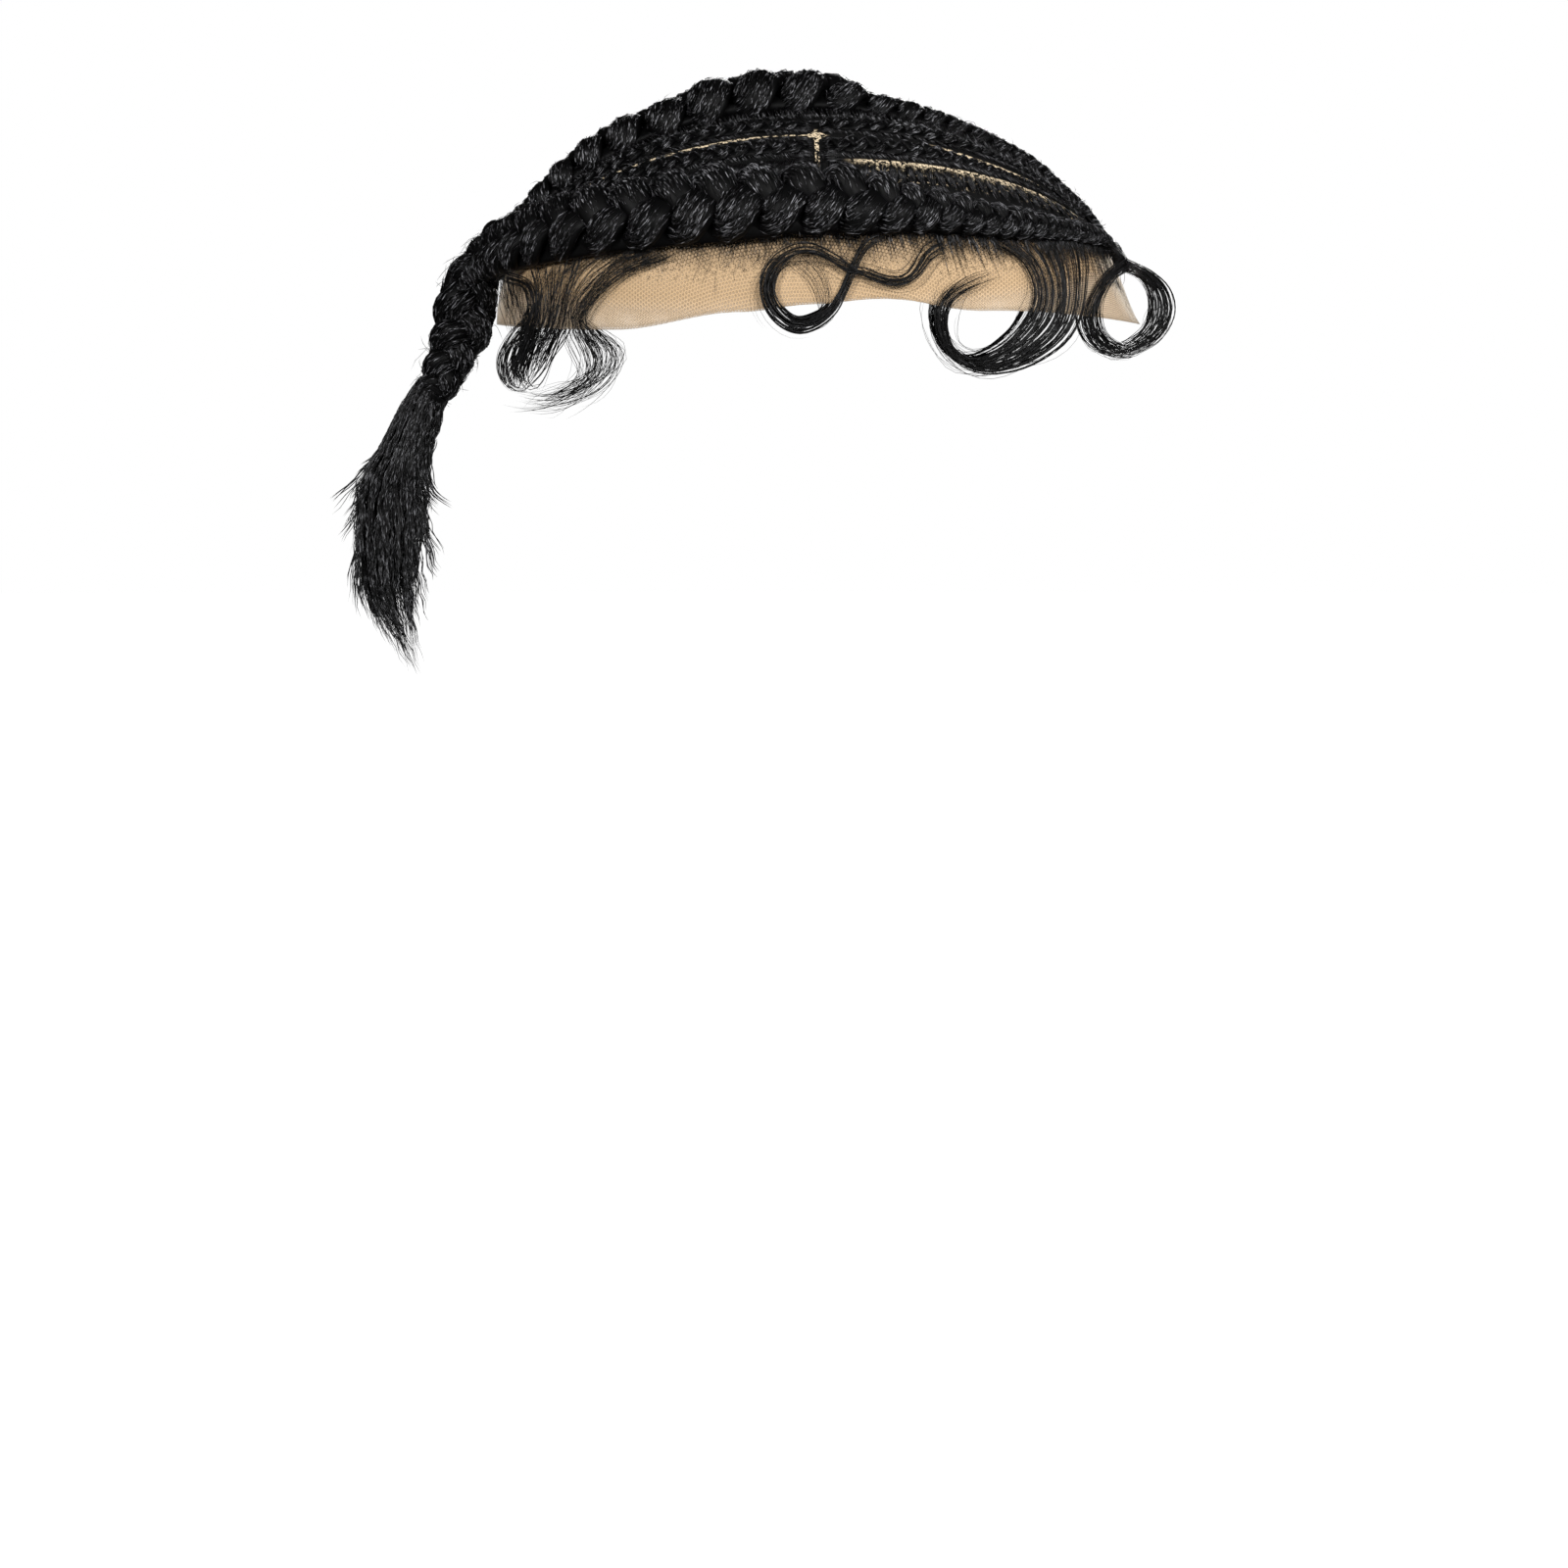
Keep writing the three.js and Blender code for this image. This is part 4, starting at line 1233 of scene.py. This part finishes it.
# %% Tie the end of the plait
TIE_CENTRE = np.array([-122.9, 0, -22.0])
TIE_DEPTH = np.array([0, 5.2, 0])
TIE_WIDTH = 5.5
TIE_LENGTH = 4.5
TIE_TURNS = 2.2
TIE_HAIRS = 12
wind = np.linspace(0, 1, 60)
tie_fall = unit(np.array([TAIL[6][0] - TAIL[5][0], 0, TAIL[6][1] - TAIL[5][1]], float))
tie_side = np.cross((0.0, 1.0, 0.0), tie_fall)
tie_lines = []
for start in np.linspace(0, 2 * np.pi, TIE_HAIRS, endpoint=False):
    round_tie = (start + 2 * np.pi * TIE_TURNS * wind)[:, None]
    middle = TIE_CENTRE + tie_fall * (TIE_LENGTH * (wind[:, None] - 0.5) + rng.normal(0, 0.3))
    tie_lines.append(middle + tie_side * TIE_WIDTH * np.cos(round_tie) + TIE_DEPTH * np.sin(round_tie))
# The winding takes the shaded copy of the hair material: painted shade where the plait narrows into the
# brush.
add_hairs(tail_shape, np.array(tie_lines), (0.3, 0.42), SHADED_COPY_SLOT)
finish_piece(tail_shape, "hair_tail", [hair, shaded_copy_hair], ["tail_braid"])

# %% [markdown]
# ## The brush
# Below the plait the hair is left loose. It is kinky, thins out to a point and has frayed ends. A slim
# solid core keeps the light from showing through its middle, and the hairs round it are cut at different
# lengths.

# %% The core of the brush
CORE_RINGS = 92
CORE_SIZE = 0.33
CORE_OPENS = 0.06
CORE_THINS = 0.7
brush_line = smooth_line(BRUSH, 120)
brush_points = in_middle_plane(brush_line)
brush_fall = unit(np.gradient(brush_points, axis=0))
brush_side = unit(np.cross((0.0, 1.0, 0.0), brush_fall))
brush_up = np.cross(brush_fall, brush_side)
brush_shape = bmesh.new()
core = slice(0, CORE_RINGS)
along_core = np.linspace(0, 1, CORE_RINGS)
core_ends = np.clip(along_core / CORE_OPENS, 0, 1) * np.clip((1 - along_core) / CORE_THINS, 0, 1)
core_wide, core_tall = (brush_line[core, 2:4] * (CORE_SIZE * np.sqrt(core_ends))[:, None]).T
# The core takes the shaded copy of the hair material: painted shade in the middle of the brush.
swept_lock(brush_shape, brush_points[core], brush_side[core], brush_up[core], core_wide, core_tall, 14, 2.0)
print("widest place of the core in mm:", round(2 * core_wide.max(), 1))

# %% Loose hair below the plait
BRUSH_HAIRS = [
    # tufts, hairs a tuft, points, spread, kink, start, reach, stray, flare, and their radius
    ((140, 5, 25, 0.95, 0.85, 0.0, (0.5, 1.0), 0.5, (-1.8, 3)), (0.1, 0.19)),
    ((56, 3, 18, 1.0, 0.9, 0.0, (0.4, 0.9), 0.6, (-4.8, 8)), (0.09, 0.15)),
    ((90, 6, 12, 1.0, 0.75, 0.5, (0.36, 0.9), 0.5, (1, 11)), (0.12, 0.2)),
]
KINKS = (8, 13)
KINK_SIZE = 0.55
SLOW_WAVES = (1.5, 3.5)
RAGGED = 1.4


def brush_hairs(tufts, per_tuft, points, spread, kink, start, reach, stray, flare):
    """Loose hairs in tufts: a tuft keeps its place in the section and waves as one, and its hairs stray from
    it. start is the share of its length where a hair begins, and flare how far the ends stand out."""
    count = tufts * per_tuft

    def of_tuft(low, high):
        return np.repeat(rng.uniform(low, high, tufts), per_tuft)[:, None]

    own = np.linspace(start, 1, points)
    share = own * of_tuft(*reach) * drawn(count, 0.86, 1)
    spot = share * (len(brush_points) - 1)
    low = np.minimum(spot.astype(int), len(brush_points) - 2)
    part = (spot - low)[..., None]

    def between(values):
        return values[low] * (1 - part) + values[low + 1] * part

    ring = np.sqrt(of_tuft(0.02, 1)) * spread
    angle = of_tuft(0, 2 * np.pi)
    size = between(brush_line[:, 2:4]) / 2
    waves = of_tuft(*KINKS) * 2 * np.pi * share + of_tuft(0, 6.28) + drawn(count, 0, 2.4)
    slow = of_tuft(*SLOW_WAVES) * np.pi * share + of_tuft(0, 6.28)
    fullness = 2 * size[..., 0] / brush_line[:, 2].max()
    outward = of_tuft(*flare) * fullness * ((own - start) / (1 - start)) ** 3
    ragged = RAGGED * share**1.5
    sideways = kink * (KINK_SIZE * np.sin(waves) + ragged * np.sin(slow)) + drawn(count, -stray, stray)
    deep = kink * (KINK_SIZE * np.cos(waves) + ragged * np.cos(slow)) + drawn(count, -stray, stray)
    sideways += np.cos(angle) * (ring * size[..., 0] + outward)
    deep += np.sin(angle) * (ring * size[..., 1] + outward)
    line = between(brush_points) + between(brush_side) * sideways[..., None]
    line[..., 1] += deep
    return line


for laying, radius in BRUSH_HAIRS:
    add_hairs(brush_shape, brush_hairs(*laying), radius)
finish_piece(brush_shape, "hair_brush", [brush_hair, shaded_copy_hair], ["tail_brush"])

# %% [markdown]
# ## Laid curls
# Baby hairs at the edge are brushed flat into curls. Each curl is drawn as two lines in the side view,
# the outer and the inner edge of the lock, and its hairs run between them in clumps, spread where they
# leave the lace and drawn together towards the end. A function then lays them on the side of the dome.
# Where a curl hangs below the rim or passes its ends, the side goes on straight down and is rounded off.

# %% Lay flat lines on the side of the dome
GUIDE_STEPS = 80
BESIDE_STEPS = 40
LEAST_INSIDE = 0.02
ROUNDED = 0.01
ROUNDED_AWAY = 0.03
STRAY = 0.09
DRAWN_IN = 1.6


def side_place(lines, away, side):
    """Puts flat lines of x and z on one side of the dome, away from the lace by the given depth."""
    x, z = lines[..., 0], lines[..., 1]
    level = np.maximum(z, 0)
    in_length = np.sqrt(np.maximum(LEAST_INSIDE, 1 - (level / DOME_HEIGHT) ** 2))
    inside = 1 - (np.abs(x) / DOME_HALF_LENGTH / in_length) ** DOME_FULLNESS
    inside = (inside + np.sqrt(inside**2 + ROUNDED + ROUNDED_AWAY * np.maximum(away, 0))) / 2
    y = half_width_at(x) * in_length * inside ** (1 / DOME_FULLNESS)
    point = np.stack([x, -y * side, level], -1)
    off = 1 + lace_lift(np.degrees(np.arctan2(y, x)), level) + away
    point = point + dome_normal(point) * off[..., None]
    point[..., 2] += z - level
    return point


def lock_lines(guides, clumps, per_clump, points, together, wander, reach, late):
    """Flat lines for the hairs of a lock between two guides. together is how close a clump ends up, wander
    how far hairs wave off, reach the least and most of the way that they go, and late how far along the
    guides a hair may start."""
    outer, inner = (smooth_line(guide, GUIDE_STEPS) for guide in guides)
    count = clumps * per_clump
    first = drawn(count, 0, late)
    share = first + (drawn(count, *reach) - first) * np.linspace(0, 1, points)
    spot = share * (GUIDE_STEPS - 1)
    low = np.minimum(spot.astype(int), GUIDE_STEPS - 2)
    part = (spot - low)[..., None]
    clump = np.repeat((np.arange(clumps) + rng.uniform(0.1, 0.9, clumps)) / clumps, per_clump)[:, None]
    stray = rng.normal(0, STRAY / clumps, count)[:, None]
    weight = (clump + stray * (1 - together * np.clip(DRAWN_IN * share, 0, 1)))[..., None]
    outside = outer[low] * (1 - part) + outer[low + 1] * part
    inside = inner[low] * (1 - part) + inner[low + 1] * part
    phase = np.repeat(rng.uniform(0, 6.28, clumps), per_clump)[:, None]
    sway = np.stack([np.sin(4 * share + phase), np.cos(3.1 * share + phase)], -1)
    waves = drawn(count, 2, 6) * np.pi * share + drawn(count, 0, 6.28)
    wave = np.stack([np.sin(waves), np.cos(1.13 * waves)], -1)
    loose = wander * (0.3 + share[..., None])
    return outside * (1 - weight) + inside * weight + loose * (0.6 * wave + sway)


def depth_of(lines, least, most, rise=0.0):
    return drawn(len(lines), least, most) + rise * np.linspace(0, 1, lines.shape[1])


def beside(line, width):
    """Two guides on both sides of a middle line. width says how far apart they are on the way."""
    middle = smooth_line(line, BESIDE_STEPS)
    ahead = unit(np.gradient(middle, axis=0))
    off = np.stack([-ahead[:, 1], ahead[:, 0]], -1)
    share = np.linspace(0, 1, BESIDE_STEPS)
    reach = np.interp(share, np.linspace(0, 1, len(width)), width)[:, None] / 2
    return middle + off * reach, middle - off * reach


print("points along a guide:", GUIDE_STEPS)

# %% Guides of the temple and side curls, as x and z in the side view
TEMPLE = (
    [
        (85.7, 24.8), (86.7, 17.5), (84.4, 3.8), (78.4, -6.3), (66.7, -13.3), (54.6, -15.2),
        (45.1, -11.4), (39.4, -3.8), (38.1, 3.8), (40.6, 10.2), (48.5, 16.2), (57, 18),
    ],
    [
        (55.9, 25.4), (65.4, 19.7), (69.2, 9.5), (64.1, -1.6), (56.5, -8.3), (49.5, -10.5),
        (43.8, -7), (41.6, -0.6), (42.5, 5.7), (46.7, 9.8), (55, 12.2), (63.5, 14.5),
    ],
)
TEMPLE_CORNER = (
    [(86.5, 25), (88.5, 19), (90, 13), (90.5, 6)],
    [(98, 23), (98.2, 18), (98, 13), (97, 8)],
)
SIDE_WAVE = [
    (41.3, 24.4), (37.1, 22.9), (34.6, 19.7), (31.7, 15.6), (27, 13), (20.6, 14.3), (15.2, 16.8),
    (12.1, 16.2), (6.3, 20.6), (-1.9, 23.5), (-9.8, 20.6), (-14.6, 13.7), (-12.7, 5.7), (-5.1, 0),
    (3.2, 2.5), (7.6, 8.9), (10.5, 13.5),
]
SIDE_RING = [
    (24.4, 27.6), (19, 26.3), (15.6, 22.9), (12.1, 15.9), (9.2, 9.5), (4.8, 3.2), (-4.1, -0.6),
    (-11.4, 3.8), (-14.3, 11), (-11.5, 18.5), (-4, 22.5),
]
SIDE_FAN = ([(-9, 20), (-2, 14), (1.5, 7), (2.5, 1)], [(0, 23), (5, 16), (6, 9), (4.5, 3)])
print("temple curl and side wave in mm:", line_length(TEMPLE[0]), line_length(SIDE_WAVE))

# %% Guides of the nape curls
NAPE_INNER = (
    [(-70.8, 21.6), (-75.6, 9.5), (-77.1, 0), (-81.9, -9.5), (-85.5, -16.5), (-89.5, -21), (-93.5, -20)],
    [(-88.9, 17.5), (-86.3, 9.5), (-87.3, 1.6), (-90, -4.8), (-92.5, -12.7), (-93.5, -18.4), (-95, -15)],
)
NAPE_LOOP = [
    (-96.2, 14.6), (-88.6, 12.1), (-86.7, 4.8), (-89.3, -1), (-92.8, -3.2), (-95.8, -8.9), (-96.6, -15.2),
    (-94, -19.7), (-89, -20.3),
]
NAPE_OUTER = (
    [
        (-42, 21), (-55.5, 16), (-64.4, 10), (-70.4, 2.8), (-71.4, -0.6), (-66, -4.8), (-60.6, -9.5),
        (-62.9, -16.5), (-71.4, -22.9), (-83.5, -27), (-94.6, -26),
    ],
    [
        (-52, 24.5), (-63.5, 19.5), (-71.8, 11), (-75.8, 3), (-76.5, -2.5), (-74.5, -7), (-72, -11.5),
        (-72.5, -16), (-77, -20), (-85.1, -23), (-93, -22.5),
    ],
)
NAPE_KNOT = (
    [(-88, 8), (-90, 0), (-91.5, -7), (-94.2, -12), (-95.8, -15.5), (-94, -19.5), (-89.5, -20.5)],
    [(-86, 8), (-87.5, 0), (-89, -7), (-91, -13), (-92, -17), (-91, -20), (-88, -21)],
)
NAPE_FAN = (
    [(-60, 23), (-69, 17), (-75, 8), (-80, -3), (-86, -13), (-92, -19)],
    [(-97, 15), (-95, 9), (-92, 3), (-91, -3), (-91.5, -10), (-92.5, -17)],
)
NAPE_CORNER = (
    [(-99.5, 15), (-99, 9), (-97.5, 3), (-95.5, -4)],
    [(-93, 16), (-92, 9), (-91, 3), (-90, -4)],
)
print("inner and outer nape curl in mm:", line_length(NAPE_INNER[0]), line_length(NAPE_OUTER[0]))

# %% Make the curls of both sides
LOCK_RADIUS = (0.1, 0.17)
STRAND_RADIUS = (0.14, 0.24)
STRAY_RADIUS = (0.05, 0.08)
FULL_RADIUS = (0.13, 0.2)
CORNER_RADIUS = (0.07, 0.12)


def curl(kind, side_name, side, locks):
    """locks are (flat lines, depth, radius) sets, each laid on one side of the dome."""
    shape = hair_shape()
    for lines, depth, radius in locks:
        add_hairs(shape, side_place(lines, depth, side), radius)
    node = f"curl_{kind}_{side_name}"
    return finish_piece(shape, f"hair_{node}", [loose_hair], [node])


def laid(guides, clumps, per_clump, points, together, wander, reach, depth, radius=LOCK_RADIUS, late=0.0):
    """One set for a curl. depth is the least and most distance from the lace, and how much it grows."""
    lines = lock_lines(guides, clumps, per_clump, points, together, wander, reach, late)
    return lines, depth_of(lines, *depth), radius


for side_name, side in SIDES:
    temple = [
        laid(TEMPLE, 12, 5, 26, 0.4, 0.3, (0.7, 1.0), (0.2, 2.0), FULL_RADIUS),
        laid(TEMPLE, 24, 1, 26, 0.0, 0.8, (0.5, 1.0), (0.2, 2.4), (0.08, 0.13)),
        laid(TEMPLE, 16, 1, 26, 0.0, 3.0, (0.5, 1.0), (0.2, 2.4), STRAY_RADIUS),
        laid(TEMPLE_CORNER, 34, 1, 12, 0.0, 0.8, (0.35, 1.0), (0.2, 0.8), CORNER_RADIUS),
    ]
    curl("temple", side_name, side, temple)
    wave = beside(SIDE_WAVE, (6, 3, 2.4, 2.4, 5, 5, 4.5, 3))
    wide_wave = beside(SIDE_WAVE, (9, 6, 5, 6, 9, 9))
    ring = beside(SIDE_RING, (4, 2.4, 2.6, 4.6, 5.2, 4.5, 3))
    side_curl = [
        laid(wave, 5, 3, 34, 0.6, 0.4, (0.86, 1.0), (0.3, 2.2, 1.0), STRAND_RADIUS),
        laid(ring, 9, 8, 30, 0.4, 0.25, (0.7, 1.0), (0.3, 1.8), FULL_RADIUS, 0.5),
        laid(SIDE_FAN, 14, 1, 12, 0.0, 0.4, (0.8, 1.0), (0.3, 1.0), STRAY_RADIUS),
        laid(wide_wave, 14, 1, 30, 0.0, 1.8, (0.4, 0.9), (0.2, 2.0), STRAY_RADIUS),
    ]
    curl("side", side_name, side, side_curl)
    loop = beside(NAPE_LOOP, (4, 3.5, 3.5, 4, 5, 4.5))
    inner_nape = [
        laid(NAPE_INNER, 16, 1, 22, 0.0, 0.7, (0.75, 1.0), (0.2, 2.2), STRAND_RADIUS),
        laid(NAPE_FAN, 50, 1, 20, 0.0, 0.9, (0.4, 1.0), (0.2, 2.0), CORNER_RADIUS),
        laid(loop, 6, 4, 26, 0.4, 0.5, (0.85, 1.0), (0.4, 2.6)),
        laid(NAPE_KNOT, 8, 5, 22, 0.2, 0.6, (0.7, 1.0), (0.4, 2.8), LOCK_RADIUS, 0.4),
        laid(NAPE_INNER, 16, 1, 22, 0.0, 2.4, (0.5, 1.0), (0.2, 2.4), STRAY_RADIUS),
        laid(NAPE_CORNER, 34, 1, 12, 0.0, 0.8, (0.4, 1.0), (0.2, 0.8), CORNER_RADIUS),
    ]
    curl("nape_inner", side_name, side, inner_nape)
    outer_nape = [
        laid(NAPE_OUTER, 15, 1, 28, 0.0, 1.3, (0.75, 1.0), (0.2, 2.0, 1.5)),
        laid(NAPE_OUTER, 34, 1, 28, 0.0, 1.2, (0.5, 1.0), (0.2, 2.4, 1.0), STRAY_RADIUS),
        laid(NAPE_OUTER, 16, 1, 28, 0.0, 3.2, (0.5, 1.0), (0.2, 2.4, 1.0), STRAY_RADIUS),
    ]
    curl("nape_outer", side_name, side, outer_nape)

# %% [markdown]
# The curl at each front corner is not laid flat: its two locks leave the hairline and meet again in the
# air as a loop, which faces half forwards. Its flat lines are therefore set up on a slanting plane, and
# bent back to the lace at the root.

# %% Make the front loops
FRONT_BACK_LOCK = (
    [
        (99.6, 21.6), (93.3, 15.9), (88.3, 7.9), (87, 1.6), (88.9, -4.8), (94.3, -9.5),
        (102.2, -10.5), (109.2, -7.6),
    ],
    [
        (101, 17.4), (96.5, 14.6), (92.7, 7.9), (92.1, 1.6), (94, -3.2), (98.4, -6.3),
        (102.9, -7), (107.3, -5.1),
    ],
)
FRONT_FORE_LOCK = (
    [
        (99.6, 21.6), (109.2, 17.1), (114.9, 12.1), (117.1, 5.4), (114.9, -1.3), (109.2, -7),
        (102.2, -10.2), (95.9, -8.6),
    ],
    [
        (101, 17.4), (106.7, 14.9), (109.2, 10.2), (109.5, 4.8), (107.9, -0.6), (104.1, -4.4),
        (99.7, -6.3), (95.2, -5.7),
    ],
)
FRONT_ROOT_LOW = (90.0, 5.0, 21.0)
FRONT_ROOT_HIGH = (98.0, 30.0, 28.0)
FRONT_ARCH = np.array([1.5, 0, 2.0])
PLANE_X = 88
PLANE_Y = 46
PLANE_RISE = 34
PLANE_RUN = 29


def front_loop(lines, depth, side):
    """Sets flat lines on the slanting plane, with a root on the lace added before each of them."""
    x, z = lines[..., 0], lines[..., 1]
    y = PLANE_Y - (x - PLANE_X) * PLANE_RISE / PLANE_RUN
    facing = unit(np.array([0.76, -0.65 * side, 0.0]))
    plane = np.stack([x, -y * side, z], -1) + facing * depth[..., None]
    roots = rng.uniform(FRONT_ROOT_LOW, FRONT_ROOT_HIGH, (len(lines), 3)) * (1, -side, 1)
    roots = dome_point(unit(roots), 0)
    roots = roots + dome_normal(roots)
    middle = roots * 0.5 + plane[:, 0] * 0.5 + FRONT_ARCH
    return np.concatenate([roots[:, None], middle[:, None], plane], axis=1)


for side_name, side in SIDES:
    shape = hair_shape()
    for guides in (FRONT_BACK_LOCK, FRONT_FORE_LOCK):
        locks = [
            laid(guides, 7, 5, 22, 0.4, 0.3, (0.8, 1.0), (-1.2, 1.2)),
            laid(guides, 16, 1, 22, 0.0, 1.3, (0.6, 1.0), (-1.5, 1.5), STRAY_RADIUS),
        ]
        for lines, depth, radius in locks:
            add_hairs(shape, front_loop(lines, depth, side), radius)
    finish_piece(shape, f"hair_curl_front_{side_name}", [loose_hair], [f"curl_front_{side_name}"])

# %% [markdown]
# ## Roots
# A cornrow picks up hair from the lace on both sides. From each parting the hair is combed flat to the
# rows beside it and climbs into them, and below the side braids a hairline of short hairs is combed up,
# with loose ones sticking out. Each set is a number of hairs laid through leans and turns.

# %% Lay combed hairs on the lace
ROOT_RADIUS = (0.12, 0.22)
ROOT_OFF = 0.75
ROOT_ARCH = 0.4
ROOT_SHARE = np.linspace(0, 1, 3)
PICK = 2.6
CROSS_CLEAR = 3.4
CROSS_AHEAD = 2.4


def combed(lean, turn, climb, side):
    """Hairs laid on the lace through rows of leans and turns, which rise by climb at their ends."""
    point, out, _, _ = row_place(side * lean, turn, ROOT_OFF)
    share = np.linspace(0, 1, lean.shape[1])
    return point + out * (ROOT_ARCH * np.sin(np.pi * share) + climb * share**2)[..., None]


def picked_up(turn, how_far):
    """Turns of hairs that are drawn together on their way to the braid, a pick at a time."""
    pick = PICK * (np.round(turn / PICK) + 0.5)
    return turn + (pick - turn) * how_far * ROOT_SHARE


def off_crossing(turn, start):
    """Moves the hairs beside the upper parting off the bare spot where it is crossed."""
    if abs(start - PARTING_LEAN) > CROSS_CLEAR:
        return turn
    past = turn + CROSS_AHEAD - CROSS_TURN
    return turn + np.sign(past) * np.maximum(CROSS_CLEAR - np.abs(past), 0)


print("hairs are picked up every", PICK, "degrees")

# %% Sets of roots
ROOT_LINES = [
    # first lean, last lean, turns, hairs, climb
    (23.2, 13.0, (8, 168), 520, 3.2),
    (24.8, 31.5, (10, 165), 420, 0.8),
    (40.2, 37.5, (12, 162), 420, 0.6),
    (43.6, 46.5, (50, 162), 320, 0.5),
    (56.2, 52.5, (12, 160), 700, 0.5),
    (56.8, 68.0, (86, 165), 900, 3.0),
]
LADDER = (56.8, 67.0)
LADDER_HAIRS = 620
LADDER_EXTRA = 420
LADDER_DROP = 2.4
CROSS_LEANS = [(30, 39.5), (44.5, 59)]
CROSS_HAIRS = 130
HAIRLINE_COMBS = [
    # turns, hairs, least lean, how far below it, how far they are picked up
    ((3, 58), 950, 86.0, 4.6, 0.85),
    ((3, 34), 360, 88.0, 7.5, 0.3),
    ((58, 110), 560, 85.0, 2.6, 0.4),
    ((110, 168), 700, 84.5, 2.2, 0.2),
]
COMBED_TO = 78
LOOSE_HAIRS = 420
LOOSE_LEAN = 83


def comb_to_rows(shape, side):
    for start, end, span, count, climb in ROOT_LINES:
        begin = start + rng.normal(0, 0.35, count)[:, None]
        turns = off_crossing(drawn(count, *span), start) + drawn(count, 1.2, 3.6) * ROOT_SHARE
        leans = begin + (end - begin) * ROOT_SHARE + sunk(turns)
        add_hairs(shape, combed(leans, turns, climb, side), ROOT_RADIUS)


def comb_ladder(shape, side):
    """Two sets across the lower parting. The first starts lower towards the front."""

    def across_ladder(begin, turns, how_far, radius):
        leans = begin + (LADDER[1] - LADDER[0]) * ROOT_SHARE
        turns = picked_up(turns, how_far) + rng.normal(0, 0.3, turns.shape)
        add_hairs(shape, combed(leans, turns, 1.5, side), radius)

    turns = drawn(LADDER_HAIRS, 7, 84)
    drop = LADDER_DROP * np.clip((50 - turns) / 16, 0, 1)
    begin = LADDER[0] + np.abs(rng.normal(0, 1.6, turns.shape)) + drop
    across_ladder(begin, turns, 0.7, (0.09, 0.14))
    begin = LADDER[0] - 0.4 + np.abs(rng.normal(0, 0.9, (LADDER_EXTRA, 1)))
    across_ladder(begin, drawn(LADDER_EXTRA, 12, 84), 0.8, (0.1, 0.16))


def comb_crossing(shape, side):
    for span in CROSS_LEANS:
        leans = drawn(CROSS_HAIRS, *span) + drawn(CROSS_HAIRS, -1, 1) * ROOT_SHARE
        away = np.sign(drawn(CROSS_HAIRS, -1, 1)) * (1.4 + drawn(CROSS_HAIRS, 4, 8) * ROOT_SHARE)
        add_hairs(shape, combed(leans, CROSS_TURN + away, 0.8, side), ROOT_RADIUS)


def comb_hairline(shape, side):
    for span, count, least, depth, how_far in HAIRLINE_COMBS:
        begin = least + np.abs(rng.normal(0, depth, (count, 1)))
        turns = picked_up(drawn(count, *span), how_far) + drawn(count, -0.6, 1.2) * ROOT_SHARE
        add_hairs(shape, combed(begin + (COMBED_TO - begin) * ROOT_SHARE, turns, 1.5, side), (0.09, 0.15))


def loosen_hairline(shape, side):
    share = np.linspace(0, 1, 5)
    begin = LOOSE_LEAN + np.abs(rng.normal(0, 3, (LOOSE_HAIRS, 1)))
    turns = drawn(LOOSE_HAIRS, 3, 168) + rng.normal(0, 2.4, (LOOSE_HAIRS, 1)) * share
    leans = begin + drawn(LOOSE_HAIRS, 1, 7) * share
    add_hairs(shape, combed(leans, turns, drawn(LOOSE_HAIRS, 0.2, 1.6), side), STRAY_RADIUS)


print("combed hairs a side:", sum(row[3] for row in ROOT_LINES) + sum(row[1] for row in HAIRLINE_COMBS))

# %% Comb the roots of both sides
for side_name, side in SIDES:
    shape = hair_shape()
    comb_to_rows(shape, side)
    comb_ladder(shape, side)
    comb_crossing(shape, side)
    comb_hairline(shape, side)
    loosen_hairline(shape, side)
    finish_piece(shape, f"hair_roots_{side_name}", [brush_hair])

# %% [markdown]
# ## Sizes
# The last cell puts the CAD model's box and the finished box side by side and prints how far the
# hair stands proud of the CAD model on each side. The hair may stand proud of the CAD model only a
# little.

# %% Print the sizes
low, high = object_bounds()
sizes = {"cad": [list(cad_low), list(cad_high)], "visual": [list(low), list(high)]}
print("triangles in all:", sum(tally.values()))
print("stands proud by mm, low side:", [round((a - b) / MM, 1) for a, b in zip(cad_low, low)])
print("stands proud by mm, high side:", [round((b - a) / MM, 1) for a, b in zip(cad_high, high)])
